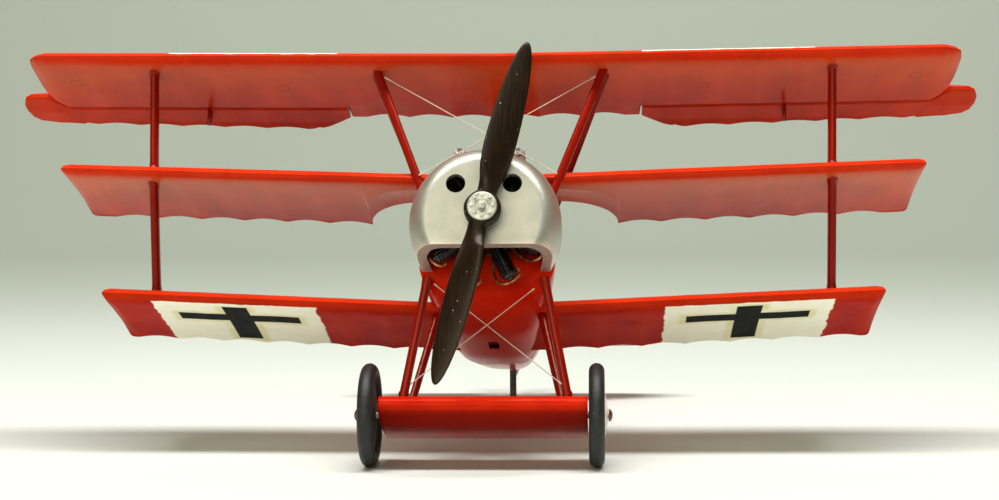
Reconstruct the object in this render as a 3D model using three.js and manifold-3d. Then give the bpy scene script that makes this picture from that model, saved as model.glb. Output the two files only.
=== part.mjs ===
// Display model of a three-winged fighter with a rotary engine, about 1/48 of full size.
//
// Millimetres. Every piece is drawn in the aircraft's own frame: the origin is the middle of the
// cowling's front face, on the thrust line; +X is the pilot's left (port) side, +Y runs aft and
// +Z is up. At the end the whole aircraft is tipped nose-up until it stands on its two wheels
// and its tail skid, and is moved so that the middle of its footprint is the origin.

import * as THREE from 'three';
import Module from 'manifold-3d';
import { mergeVertices } from 'three/addons/utils/BufferGeometryUtils.js';

const wasm = await Module();
wasm.setup();

// ---------------------------------------------------------------- driving dimensions

const GAP = 0.06;          // glued seams: the gap left between two fixed pieces that touch
const RUNNING_GAP = 0.15;  // clearance round a piece that turns
const NOSE_UP = THREE.MathUtils.degToRad(18.4);

// Wing section, as fractions of the chord, and the thickness left at a trailing edge.
const SECTION = { thickness: 0.13, camber: 0.045, camberAt: 0.4, edge: 0.13, wedge: 0.17 };
const SECTION_STEPS = [0, 0.02, 0.09, 0.28, 0.6, 1];
const RIB_PITCH = 7.0;
const SCALLOP = 0.8;

// leY, leZ: leading edge on the centre line. chord: the chord that shapes the section.
const TOP = {
  leY: 7.55, leZ: 27.11, incidence: 6.0, dihedral: 0.66, chord: 23, halfSpan: 72.2,
  centreChord: 20.9, aileronFrom: 23.5, sparEnd: 17.1, hinge: 17.9, squareTo: 69.4,
};
const MID = {
  leY: 10.17, leZ: 8.1, incidence: 2.66, dihedral: 2.05, chord: 20.6, halfSpan: 65.66,
  notchFrom: 9.5, notchTo: 19.8, notchDepth: 10.8,
};
const LOW = { leY: 17.0, leZ: -10.2, incidence: 4.7, dihedral: 2.67, chord: 20.6, halfSpan: 59.75 };

const AILERON = { noseRadius: 0.65, wideFrom: 30, wideChord: 24.4, taper: 0.04, tip: 76.8 };
const AILERON_LEVER = { x: 46.4, thick: 0.55, drop: 3.3 };
const HINGE_ROD = { radius: 0.28, bore: 0.36 };

// Fuselage stations: distance aft, half width, top and bottom.
const HULL = [
  [8.86, 10.0, 10.0, -9.8],
  [9.6, 10.3, 10.15, -10.5],
  [12, 10.3, 10.3, -11.2],
  [17, 9.9, 10.6, -11.7],
  [24, 9.3, 10.8, -12.3],
  [40, 8.2, 10.6, -12.3],
  [48, 7.6, 10.2, -11.3],
  [60, 6.6, 9.4, -8.9],
  [74, 5.2, 8.2, -6.0],
  [88, 3.4, 6.85, -2.8],
  [98, 2.1, 6.6, -0.4],
  [108, 0.8, 5.6, 1.8],
];
const HULL_POINTS = 24;
const HULL_SQUARE_BELOW = 4.0;  // superellipse power of the boxy lower half
const HULL_SQUARE_ABOVE = 2.4;  // and of the rounded decking
const SKIN = 0.9;
const FIREWALL_END = 9.6;

const THRUST_Z = -0.7;
const COWL = {
  radius: 11.2, length: 8.8, wall: 1.2, shoulder: 3.0, shoulderLength: 5.0, cutFront: -5.2, cutRear: -6.8,
};
const COWL_HOLE = { x: 4.11, z: 4.02, radius: 1.42 };
const SHAFT_HOLE = 1.4;

const STAND_SLOT = { width: 1.6, from: 29.2, to: 33.7 };

const PROP = { radius: 26.5, plane: -2.4, hubRadius: 2.7, hubDepth: 2.3, pitch: 42 };
// The blades' width across the disc: at the root, at its widest, and the radius where that is.
const BLADE = { root: 2.8, widest: 4.55, at: 12 };
const PROP_LEAN = 13.8;
const HUB_PLATE = { radius: 2.16, thick: 0.4, bolts: 8, boltCircle: 1.55, boltRadius: 0.26 };
const SHAFT_RADIUS = 0.7;

const ENGINE = { plane: 5.2, caseRadius: 3.9, caseDepth: 3.4, cylinders: 9, head: 9.2, first: 25 };
const CYLINDER = { core: 1.0, fin: 1.28, fins: 5 };
const PIPE_RADIUS = 0.19;

const WHEEL = {
  y: 11.9, z: -27.7, track: 16.6, slide: -0.4, radius: 7.6, halfWidth: 1.15, section: 1.2,
};
const AXLE_RADIUS = 0.5;
// Distances outboard of a wheel's middle: the covers' faces at the hub, and the axle's cap.
const HUB = { outer: 1.6, inner: -1.15, plate: 0.4, waist: 1.1 };
const CAP = { foot: 1.72, recess: 2.0, crown: 2.3, radius: 0.95 };
const AXLE_WING = { leY: 6.9, leZ: -26.8, chord: 13.2, thick: 2.9, incidence: 11.5, half: 14.9 };

const STRUT_X = { top: 52.5, mid: 52.1, low: 52.1 };
// aft: the strut's middle, aft of each leading edge. sunk: its ends' height above the chord lines.
const STRUT = { chord: 2.8, thick: 1.1, flare: 1.35, aft: 4.6, sunkAbove: 0.9, sunkBelow: 0.6 };

const TAIL = { z: 7.5, thick: 1.0, apex: 87.5, hinge: 102.7, half: 25.6, rear: 109 };
const RUDDER = { hinge: 109.2, thick: 1.0, bottom: 2.0, top: 19.0 };
const COCKPIT = { y: 36.5, halfWidth: 4.6, halfLength: 5.3 };
const GUN = { x: 4.4, z: 12.8, muzzle: 10.4, barrel: 0.95 };

// ---------------------------------------------------------------- materials

const PAINT = {
  red: { color: 0xb5281a, roughness: 0.35, metalness: 0 },
  silver: { color: 0xc9ccce, roughness: 0.4, metalness: 0.7 },
  wood: { color: 0x2a1d14, roughness: 0.35, metalness: 0 },
  rubber: { color: 0x23262a, roughness: 0.6, metalness: 0 },
  white: { color: 0xe8e4d4, roughness: 0.5, metalness: 0 },
  black: { color: 0x15161a, roughness: 0.45, metalness: 0.4 },
  copper: { color: 0xb5713c, roughness: 0.35, metalness: 0.9 },
  steel: { color: 0x9b9fa3, roughness: 0.35, metalness: 0.9 },
  thread: { color: 0xd8cdbd, roughness: 0.6, metalness: 0 },
  leather: { color: 0x4a2c1c, roughness: 0.7, metalness: 0 },
  grey: { color: 0x8c9096, roughness: 0.45, metalness: 0.6 },
  timber: { color: 0xb08a5a, roughness: 0.6, metalness: 0 },
};

const aircraft = new THREE.Group();

/** Hang one named piece in the aircraft. */
function addPiece(name, shape, paint, place = {}) {
  const geometry = shape.isBufferGeometry ? shape : geometryFrom(shape);
  const mesh = new THREE.Mesh(geometry, new THREE.MeshStandardMaterial(PAINT[paint]));
  mesh.name = name;
  if (place.position) mesh.position.set(...place.position);
  if (place.rotation) mesh.rotation.set(...place.rotation);
  aircraft.add(mesh);
  return mesh;
}

// ---------------------------------------------------------------- solids

const radians = THREE.MathUtils.degToRad;

/** A solid for joining and cutting, from any closed geometry. */
function solidFrom(geometry) {
  const bare = geometry.clone();
  bare.deleteAttribute('normal');
  bare.deleteAttribute('uv');
  const merged = mergeVertices(bare, 1e-4);
  const index = merged.index.array;
  const faces = [];
  for (let i = 0; i < index.length; i += 3) {
    const [a, b, c] = [index[i], index[i + 1], index[i + 2]];
    if (a !== b && b !== c && c !== a) faces.push(a, b, c);
  }
  const mesh = new wasm.Mesh({
    numProp: 3,
    vertProperties: Float32Array.from(merged.attributes.position.array),
    triVerts: Uint32Array.from(faces),
  });
  return new wasm.Manifold(mesh);
}

/** The geometry of a solid. */
function geometryFrom(solid) {
  const mesh = solid.getMesh();
  const geometry = new THREE.BufferGeometry();
  geometry.setAttribute('position', new THREE.BufferAttribute(mesh.vertProperties, 3));
  geometry.setIndex(new THREE.BufferAttribute(mesh.triVerts, 1));
  geometry.computeVertexNormals();
  return geometry;
}

/** The largest connected body of a solid. */
function largestBody(solid) {
  return solid.decompose().reduce((best, body) => (body.volume() > best.volume() ? body : best));
}

/** A solid with others cut out of it, kept as one body. */
function trimmed(solid, ...cutters) {
  return largestBody(cutters.reduce((rest, cutter) => rest.subtract(cutter), solid));
}

function joined(...solids) {
  return solids.reduce((all, solid) => all.add(solid));
}

/** A skin over rings that have the same number of points: closed at both ends, or an endless loop. */
function loft(rings, endless = false) {
  const count = rings[0].length;
  const points = rings.flat();
  const faces = [];
  for (let r = 0; r + (endless ? 0 : 1) < rings.length; r += 1) {
    const [here, next] = [r * count, ((r + 1) % rings.length) * count];
    for (let k = 0; k < count; k += 1) {
      const turn = (k + 1) % count;
      faces.push([here + k, here + turn, next + turn], [here + k, next + turn, next + k]);
    }
  }
  const capAt = (ring, start, flip) => {
    const middle = points.length;
    points.push([0, 1, 2].map((i) => ring.reduce((sum, p) => sum + p[i], 0) / count));
    for (let k = 0; k < count; k += 1) {
      const [a, b] = [start + k, start + ((k + 1) % count)];
      faces.push(flip ? [middle, b, a] : [middle, a, b]);
    }
  };
  if (!endless) {
    capAt(rings[0], 0, true);
    capAt(rings[rings.length - 1], (rings.length - 1) * count, false);
  }
  const volume = faces.reduce((sum, face) => {
    const [a, b, c] = face.map((i) => new THREE.Vector3(...points[i]));
    return sum + a.dot(b.cross(c));
  }, 0);
  const outward = volume > 0 ? faces : faces.map(([a, b, c]) => [a, c, b]);
  const geometry = new THREE.BufferGeometry();
  geometry.setAttribute('position', new THREE.Float32BufferAttribute(points.flat(), 3));
  geometry.setIndex(outward.flat());
  geometry.computeVertexNormals();
  return geometry;
}

function box(x0, x1, y0, y1, z0, z1) {
  const geometry = new THREE.BoxGeometry(x1 - x0, y1 - y0, z1 - z0);
  return solidFrom(geometry.translate((x0 + x1) / 2, (y0 + y1) / 2, (z0 + z1) / 2));
}

/** A round rod between two points. */
function rod(from, to, radius, sides = 8) {
  const [a, b] = [new THREE.Vector3(...from), new THREE.Vector3(...to)];
  const along = b.clone().sub(a);
  const geometry = new THREE.CylinderGeometry(radius, radius, along.length(), sides);
  const turn = new THREE.Quaternion().setFromUnitVectors(new THREE.Vector3(0, 1, 0), along.normalize());
  geometry.applyQuaternion(turn);
  geometry.translate(...a.add(b).multiplyScalar(0.5));
  return solidFrom(geometry);
}

/** A turned shape about the Y axis. Its profile is a list of [radius, y]. */
function turned(profile, sides) {
  const points = profile.map(([radius, y]) => new THREE.Vector2(radius, y));
  const geometry = new THREE.LatheGeometry(points, sides);
  const solid = solidFrom(geometry);
  return solid.volume() > 0 ? solid : solidFrom(flipped(geometry));
}

function flipped(geometry) {
  const copy = geometry.clone();
  const index = copy.index.array;
  for (let i = 0; i < index.length; i += 3) {
    [index[i + 1], index[i + 2]] = [index[i + 2], index[i + 1]];
  }
  return copy;
}

/** A streamlined bar between two points, wider where it meets its neighbours. */
function bar(from, to, chord, thick, flare = 1.3) {
  const [a, b] = [new THREE.Vector3(...from), new THREE.Vector3(...to)];
  const along = b.clone().sub(a).normalize();
  const aft = new THREE.Vector3(0, 1, 0);
  aft.addScaledVector(along, -aft.dot(along)).normalize();
  const across = new THREE.Vector3().crossVectors(along, aft);
  const rings = [0, 0.07, 0.2, 0.8, 0.93, 1].map((t) => {
    const spread = Math.min(t, 1 - t);
    const size = spread < 0.01 ? flare : spread < 0.1 ? (1 + flare) / 2 : 1;
    const ring = [];
    for (let k = 0; k < 10; k += 1) {
      const angle = (k / 10) * 2 * Math.PI;
      const point = a.clone().lerp(b, t);
      point.addScaledVector(aft, (Math.cos(angle) * chord * size) / 2);
      point.addScaledVector(across, (Math.sin(angle) * thick * size) / 2);
      ring.push(point.toArray());
    }
    return ring;
  });
  return solidFrom(loft(rings));
}

/** A flat plate: an outline in a plane, given thickness. The shape's x, y become y, z here. */
function uprightPlate(shape, x, thick, curveSegments = 6) {
  const geometry = new THREE.ExtrudeGeometry(shape, { depth: thick, bevelEnabled: false, curveSegments });
  geometry.rotateX(Math.PI / 2);
  geometry.rotateZ(Math.PI / 2);
  return solidFrom(geometry.translate(x - thick / 2, 0, 0));
}

/** A flat plate whose shape's x, y stay x, y here, with its lower face at z. */
function levelPlate(shape, z, thick, curveSegments = 6) {
  const geometry = new THREE.ExtrudeGeometry(shape, { depth: thick, bevelEnabled: false, curveSegments });
  return solidFrom(geometry.translate(0, 0, z));
}

/** A regular polygon, as the outline of a round section. */
function polygon(radius, sides) {
  const corners = Array.from({ length: sides }, (unused, k) => {
    const angle = (k / sides) * 2 * Math.PI;
    return new THREE.Vector2(radius * Math.cos(angle), radius * Math.sin(angle));
  });
  return new THREE.Shape(corners);
}

/** A round tube along a curve. */
function tube(points, radius, steps, sides) {
  const path = new THREE.CatmullRomCurve3(points.map((p) => new THREE.Vector3(...p)));
  const section = polygon(radius, sides);
  return solidFrom(new THREE.ExtrudeGeometry(section, { steps, extrudePath: path }));
}

// ---------------------------------------------------------------- wings

function halfThickness(u) {
  const v = THREE.MathUtils.clamp(u, 0, 1);
  const shape = 0.2969 * Math.sqrt(v) - 0.126 * v - 0.3516 * v ** 2 + 0.2843 * v ** 3 - 0.1015 * v ** 4;
  return 5 * SECTION.thickness * shape;
}

function camberLine(u) {
  const { camber, camberAt: p } = SECTION;
  if (u < p) return (camber / p ** 2) * (2 * p * u - u ** 2);
  return (camber / (1 - p) ** 2) * (1 - 2 * p + 2 * p * u - u ** 2);
}

/** A point of a wing: x along the span, s aft of the leading edge, h above the chord line. */
function onWing(wing, x, s, h) {
  const angle = radians(wing.incidence);
  const rise = Math.abs(x) * Math.tan(radians(wing.dihedral));
  const y = wing.leY + s * Math.cos(angle) + h * Math.sin(angle);
  const z = wing.leZ - s * Math.sin(angle) + h * Math.cos(angle) + rise;
  return [x, y, z];
}

/** The height of a wing's middle line above its chord line. */
function middle(wing, s) {
  return camberLine(s / wing.chord) * wing.chord;
}

/**
 * One section of a wing. The station gives x, front and rear (distances aft of the leading
 * edge), scale (thickness), blunt (a rear edge left thick for a hinge), nose (its radius) and
 * notched (a shortened section, whose middle line ends on the chord line).
 */
function wingRing(wing, station, grow) {
  const { x, front = 0, rear, scale = 1, blunt = false, nose = 0, most = Infinity } = station;
  const { notched = false } = station;
  const sink = notched ? middle(wing, rear) / rear ** 2 : 0;
  const half = (s) => {
    const started = nose ? s / wing.chord : (s - front) / wing.chord;
    let size = Math.max(halfThickness(started) * wing.chord * scale, s > front ? SECTION.edge : 0);
    if (!blunt) size = Math.min(size, SECTION.edge + (rear - s) * SECTION.wedge);
    const from = s - front;
    if (nose && from < nose) size = Math.min(size, Math.sqrt(Math.max(0, from * (2 * nose - from))));
    return Math.min(size, most);
  };
  const place = (step, side) => {
    const s = front + (rear - front) * step;
    const slide = grow * (2 * step - 1);
    const thick = step === 0 ? 0 : half(s) + grow;
    return onWing(wing, x, s + slide, middle(wing, s) - sink * s ** 2 + side * thick);
  };
  const upper = [...SECTION_STEPS].reverse().map((step) => place(step, 1));
  const lower = SECTION_STEPS.slice(1).map((step) => place(step, -1));
  return [...upper, ...lower];
}

/** How far the trailing edge bows in between two ribs. */
function scallop(x, offset) {
  return SCALLOP * Math.abs(Math.sin((Math.PI * (Math.abs(x) - offset)) / RIB_PITCH));
}

/** Half-bay stations from one rib to another. */
function bays(from, to) {
  const count = Math.round((to - from) / (RIB_PITCH / 2));
  return Array.from({ length: count + 1 }, (unused, k) => from + ((to - from) * k) / count);
}

/** The whole wing from the stations of its port half. */
function wingSolid(wing, port, grow = 0) {
  const starboard = port.filter(({ x }) => x > 0).reverse().map((at) => ({ ...at, x: -at.x }));
  return solidFrom(loft([...starboard, ...port].map((at) => wingRing(wing, at, grow))));
}

function topStations() {
  const centre = bays(0, 21).map((x) => ({ x, rear: TOP.centreChord - scallop(x, 0) }));
  const innerEnd = { x: TOP.aileronFrom - 0.15, rear: TOP.centreChord - 0.4 };
  const outer = [TOP.aileronFrom, 35, 49, 61, 68].map((x) => ({ x, rear: TOP.sparEnd, blunt: true }));
  const tip = [
    { x: TOP.squareTo, front: 0.25, rear: TOP.sparEnd, blunt: true, scale: 0.97 },
    { x: 70.7, front: 0.9, rear: 15.2, blunt: true, scale: 0.85 },
    { x: 71.7, front: 2.2, rear: 12.4, blunt: true, scale: 0.65 },
    { x: TOP.halfSpan, front: 4.6, rear: 9.4, blunt: true, scale: 0.3 },
  ];
  return [...centre, innerEnd, ...outer, ...tip];
}

/** The square-cut tip of the middle and lower wings. */
function squareTip(wing) {
  return [
    { x: wing.halfSpan - 1.1, rear: wing.chord - 0.1 },
    { x: wing.halfSpan - 0.3, front: 0.1, rear: wing.chord - 0.2, scale: 0.85 },
    { x: wing.halfSpan, front: 0.5, rear: wing.chord - 0.7, scale: 0.5 },
  ];
}

/** The middle wing's rear edge: cut away in a quarter circle beside the cockpit. */
function midRear(x) {
  const across = (Math.abs(x) - MID.notchFrom) / (MID.notchTo - MID.notchFrom);
  if (across >= 1) return MID.chord - scallop(x, MID.notchTo % RIB_PITCH);
  return MID.chord - MID.notchDepth * Math.sqrt(1 - Math.max(0, across) ** 2);
}

function midStations() {
  const root = [0, 9.5, 11.5, 14, 16.5, 18.6, 19.6].map((x) => ({ x, rear: midRear(x), notched: true }));
  const ribs = bays(MID.notchTo, MID.notchTo + 6 * RIB_PITCH).map((x) => ({ x, rear: midRear(x) }));
  return [...root, ...ribs, ...squareTip(MID)];
}

function lowStations() {
  const root = [0, 7.5].map((x) => ({ x, rear: LOW.chord - 0.3 }));
  const ribs = bays(9.5, 9.5 + 7 * RIB_PITCH).map((x) => ({ x, rear: LOW.chord - scallop(x, 9.5) }));
  return [...root, ...ribs.filter(({ x }) => x < LOW.halfSpan - 1.2), ...squareTip(LOW)];
}

/** The aileron's rear edge, aft of the wing's leading edge. */
function aileronRear(x) {
  const swept = THREE.MathUtils.clamp((x - TOP.aileronFrom) / (AILERON.wideFrom - TOP.aileronFrom), 0, 1);
  const rise = Math.sin((swept * Math.PI) / 2);
  const full = AILERON.wideChord - AILERON.taper * Math.max(0, x - AILERON.wideFrom);
  return TOP.centreChord - 0.6 + (full - TOP.centreChord + 0.6) * rise - scallop(x, 3) * 0.6 * swept;
}

/** Sections of the port aileron, with its balance horn outside the wing tip. */
function aileronStations() {
  const nose = AILERON.noseRadius;
  const front = TOP.hinge - nose;
  const start = TOP.aileronFrom + RUNNING_GAP + 0.05;
  const body = [start, 25.5, 27.5, ...bays(31, 66), 68.6].map((x) => {
    return { x, front, rear: aileronRear(x), nose };
  });
  const horn = [
    { x: 70.0, front, rear: 22.7, nose, most: 0.6 },
    { x: 72.3, front: 14.6, rear: 22.6, nose: 0.55, most: 0.55 },
    { x: 75.2, front: 14.9, rear: 22.0, nose: 0.5, most: 0.5 },
    { x: 76.3, front: 15.8, rear: 21.0, nose: 0.4, most: 0.4 },
    { x: AILERON.tip, front: 17.2, rear: 19.4, nose: 0.25, most: 0.25 },
  ];
  return [...body, ...horn];
}

/** A rod along the aileron's hinge line. */
function hingeLine(side, from, to, radius) {
  const h = middle(TOP, TOP.hinge);
  const ends = [from, to].map((x) => onWing(TOP, side * x, TOP.hinge, h));
  return rod(ends[0], ends[1], radius, 8);
}

/** The lug of the wing that carries the outer end of the hinge rod. */
function hingeLug(side, grow) {
  const h = middle(TOP, TOP.hinge);
  const [x, y, z] = onWing(TOP, side * 59.5, TOP.hinge, h);
  const radius = AILERON.noseRadius - 0.05 + grow;
  return joined(
    box(x - 0.5 - grow, x + 0.5 + grow, y - 1.3, y, z - 0.45 - grow, z + 0.45 + grow),
    rod([x - 0.5 - grow, y, z], [x + 0.5 + grow, y, z], radius * 0.8, 8),
  );
}

const SIDES = [['left', 1], ['right', -1]];

function buildWings() {
  const slot = box(-STAND_SLOT.width / 2, STAND_SLOT.width / 2, STAND_SLOT.from, STAND_SLOT.to, -20, -9.6);
  let top = wingSolid(TOP, topStations());
  for (const [, side] of SIDES) {
    top = top.add(hingeLug(side, 0));
    top = top.subtract(hingeLine(side, TOP.aileronFrom - 3, 60.6, HINGE_ROD.bore));
  }
  addPiece('top_wing', largestBody(top), 'red');
  addPiece('mid_wing', trimmed(wingSolid(MID, midStations()), cowlRoom(), firewallRoom()), 'red');
  addPiece('lower_wing', trimmed(wingSolid(LOW, lowStations()), slot), 'red');
}

function buildAilerons() {
  const wide = aileronStations();
  for (const [name, side] of SIDES) {
    const stations = wide.map((at) => ({ ...at, x: at.x * side }));
    const body = solidFrom(loft(stations.map((at) => wingRing(TOP, at, 0))));
    const bore = hingeLine(side, 20, 62, HINGE_ROD.bore);
    const aileron = trimmed(body, bore, hingeLug(side, RUNNING_GAP));
    addPiece(`aileron_${name}`, aileron, 'red');
    const hingeRod = hingeLine(side, TOP.aileronFrom - 2.6, 60.2, HINGE_ROD.radius);
    addPiece(`aileron_hinge_rod_${name}`, hingeRod, 'steel');
    const [x, y, z] = onWing(TOP, side * AILERON_LEVER.x, TOP.hinge, middle(TOP, TOP.hinge));
    const outline = new THREE.Shape();
    outline.moveTo(y - 0.35, z);
    outline.lineTo(y + 2.2, z);
    outline.lineTo(y + 0.35, z - AILERON_LEVER.drop);
    outline.lineTo(y - 0.35, z - AILERON_LEVER.drop);
    const grown = solidFrom(loft(stations.map((at) => wingRing(TOP, at, GAP))));
    const lever = trimmed(uprightPlate(outline, x, AILERON_LEVER.thick), grown);
    addPiece(`aileron_lever_${name}`, lever, 'red');
  }
}

// ---------------------------------------------------------------- fuselage

/** The fuselage's half width, top and bottom at a distance aft. */
function hullAt(y) {
  const next = Math.max(1, HULL.findIndex((row) => row[0] >= y));
  const [a, b] = [HULL[next - 1], HULL[next]];
  const t = (y - a[0]) / (b[0] - a[0]);
  return [1, 2, 3].map((i) => a[i] + (b[i] - a[i]) * t);
}

/** One ring of the fuselage skin, drawn in or out by an offset. */
function hullRing(y, offset, at = y) {
  const [width, top, bottom] = hullAt(y);
  const waist = 0.25 * Math.max(0, top + bottom);
  const ring = [];
  for (let k = 0; k < HULL_POINTS; k += 1) {
    const angle = ((k + 0.5) / HULL_POINTS) * 2 * Math.PI;
    const [cos, sin] = [Math.cos(angle), Math.sin(angle)];
    const power = 2 / (sin > 0 ? HULL_SQUARE_ABOVE : HULL_SQUARE_BELOW);
    const height = (sin > 0 ? top - waist : waist - bottom) + offset;
    const x = Math.sign(cos) * Math.abs(cos) ** power * Math.max(0.2, width + offset);
    const z = waist + Math.sign(sin) * Math.abs(sin) ** power * Math.max(0.2, height);
    ring.push([x, at, z]);
  }
  return ring;
}

/** The solid inside the fuselage skin between two distances aft. */
function hullSolid(from, to, offset) {
  const between = HULL.map((row) => row[0]).filter((y) => y > from + 0.01 && y < to - 0.01);
  const rings = [from, ...between, to].map((y) => hullRing(y, offset));
  return solidFrom(loft(rings));
}

/** The fuselage and firewall together, grown by a gap, to trim what is fixed to their outside. */
function hullRoom() {
  const first = hullRing(HULL[0][0], GAP, HULL[0][0] - GAP);
  const rest = HULL.slice(1).map((row) => hullRing(row[0], GAP));
  return solidFrom(loft([first, ...rest]));
}

/** The space that the cowling and the engine take. */
function cowlRoom() {
  return rod([0, -5, THRUST_Z], [0, COWL.length + GAP, THRUST_Z], COWL.radius + 0.1, 40);
}

function firewallRoom() {
  return box(-12, 12, 0, FIREWALL_END + 2 * GAP, -12, 7.2)
    .add(box(-8.7, 8.7, 0, FIREWALL_END + 2 * GAP, -12, 12));
}

function buildFuselage() {
  const front = FIREWALL_END + GAP;
  const last = HULL[HULL.length - 1][0];
  const shell = hullSolid(front, last, 0).subtract(hullSolid(front - 1e-3, 96, -SKIN));
  const cockpit = solidFrom(
    new THREE.CylinderGeometry(1, 1, 12, 28)
      .rotateX(Math.PI / 2)
      .scale(COCKPIT.halfWidth, COCKPIT.halfLength, 1)
      .translate(0, COCKPIT.y, 9.5),
  );
  const wings = wingSolid(LOW, lowStations(), GAP).add(wingSolid(MID, midStations(), GAP));
  const slot = box(-STAND_SLOT.width / 2, STAND_SLOT.width / 2, STAND_SLOT.from, STAND_SLOT.to, -20, -9.6);
  const skin = shell.subtract(cockpit).subtract(wings).subtract(slot);
  addPiece('fuselage_left_half', trimmed(skin, box(-20, GAP / 2, 0, 120, -20, 20)), 'red');
  addPiece('fuselage_right_half', trimmed(skin, box(-GAP / 2, 20, 0, 120, -20, 20)), 'red');
  const plate = solidFrom(loft([hullRing(HULL[0][0], 0), hullRing(FIREWALL_END, 0)]));
  addPiece('firewall', plate, 'red');
}

function buildCockpit() {
  const inside = hullSolid(FIREWALL_END + 1, 95, -SKIN - GAP);
  const floor = box(-9, 9, 26, 46, -7.4, -6.8).intersect(inside);
  addPiece('cockpit_floor', largestBody(floor), 'timber');
  const panel = box(-9, 9, 29.6, 30.2, 1.5, 12).intersect(inside);
  addPiece('instrument_panel', largestBody(panel), 'timber');
  const seat = new THREE.Shape();
  seat.moveTo(38.0, -6.7);
  seat.lineTo(38.6, -6.7);
  seat.lineTo(38.6, -3.0);
  seat.lineTo(42.0, -3.0);
  seat.lineTo(42.9, 3.6);
  seat.lineTo(42.3, 3.6);
  seat.lineTo(41.5, -2.4);
  seat.lineTo(37.2, -2.4);
  seat.lineTo(37.2, -3.0);
  seat.lineTo(38.0, -3.0);
  addPiece('pilot_seat', uprightPlate(seat, 0, 6.0), 'leather');
  const stick = joined(
    rod([0, 34.2, -6.7], [0, 33.6, 0.4], 0.25, 8),
    rod([-0.9, 33.6, 0.4], [0.9, 33.6, 0.4], 0.3, 8),
  );
  addPiece('control_stick', stick, 'black');
  const [width, top] = hullAt(COCKPIT.y);
  const rings = [];
  for (let k = 0; k < 24; k += 1) {
    const around = (k / 24) * 2 * Math.PI;
    const [cos, sin] = [Math.cos(around), Math.sin(around)];
    const x = (COCKPIT.halfWidth + 0.1) * cos;
    const drop = (1 - (Math.abs(x) / width) ** HULL_SQUARE_ABOVE) ** (1 / HULL_SQUARE_ABOVE);
    rings.push(polygon(0.55, 6).getPoints().slice(0, 6).map((p) => [
      x + p.x * cos,
      COCKPIT.y + (COCKPIT.halfLength + 0.1) * sin + p.x * sin,
      top * drop + 0.35 + p.y,
    ]));
  }
  const ring = loft(rings, true);
  addPiece('cockpit_coaming', trimmed(solidFrom(ring), hullRoomOpen()), 'leather');
}

/** The grown fuselage with the cockpit left open. */
function hullRoomOpen() {
  const well = new THREE.CylinderGeometry(1, 1, 12, 28)
    .rotateX(Math.PI / 2)
    .scale(COCKPIT.halfWidth - GAP, COCKPIT.halfLength - GAP, 1)
    .translate(0, COCKPIT.y, 9.5);
  return hullRoom().subtract(solidFrom(well));
}

// ---------------------------------------------------------------- cowling and guns

function buildCowling() {
  const { radius, length, wall, shoulder, shoulderLength } = COWL;
  const arc = (r, y0, inset) => {
    const points = [];
    for (let k = 0; k <= 5; k += 1) {
      const angle = (k / 5) * (Math.PI / 2);
      points.push([r - inset * (1 - Math.sin(angle)), y0 + (shoulderLength - y0) * (1 - Math.cos(angle))]);
    }
    return points;
  };
  const profile = [
    [0, 0],
    ...arc(radius, 0, shoulder),
    [radius, length],
    [radius - wall, length],
    ...arc(radius - wall, wall, shoulder - wall + 0.6).reverse(),
    [0, wall],
  ];
  let cowl = turned(profile, 40).translate([0, 0, THRUST_Z]);
  for (const x of [-COWL_HOLE.x, COWL_HOLE.x]) {
    cowl = cowl.subtract(rod([x, -2, COWL_HOLE.z], [x, 4, COWL_HOLE.z], COWL_HOLE.radius, 16));
  }
  cowl = cowl.subtract(rod([0, -2, THRUST_Z], [0, 4, THRUST_Z], SHAFT_HOLE, 16));
  const slope = (COWL.cutRear - COWL.cutFront) / length;
  const below = new THREE.BoxGeometry(30, 40, 20).translate(0, 0, -10);
  below.rotateX(Math.atan(slope)).translate(0, 0, COWL.cutFront);
  addPiece('cowling', trimmed(cowl, solidFrom(below)), 'silver');
}

function buildGuns() {
  const { x, z, muzzle, barrel } = GUN;
  for (const [name, side] of SIDES) {
    const jacket = turned([[0, 0], [0.6, 0], [0.6, 0.8], [barrel, 1.0], [barrel, 9], [0, 9]], 12);
    const gun = joined(
      jacket,
      box(-0.85, 0.85, 8.6, 17.5, -1.1, 1.0),
      box(-0.35, 0.35, 3.0, 4.2, -4.5, 0),
      box(-0.6, 0.6, 12.0, 15.0, -4.5, 0),
      box(0, side * 1.5 || 0, 10, 12.5, -0.5, 0.6),
    ).translate(side * x, muzzle, z);
    addPiece(`gun_${name}`, trimmed(gun, hullRoom()), 'grey');
  }
}

// ---------------------------------------------------------------- engine and propeller

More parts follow.
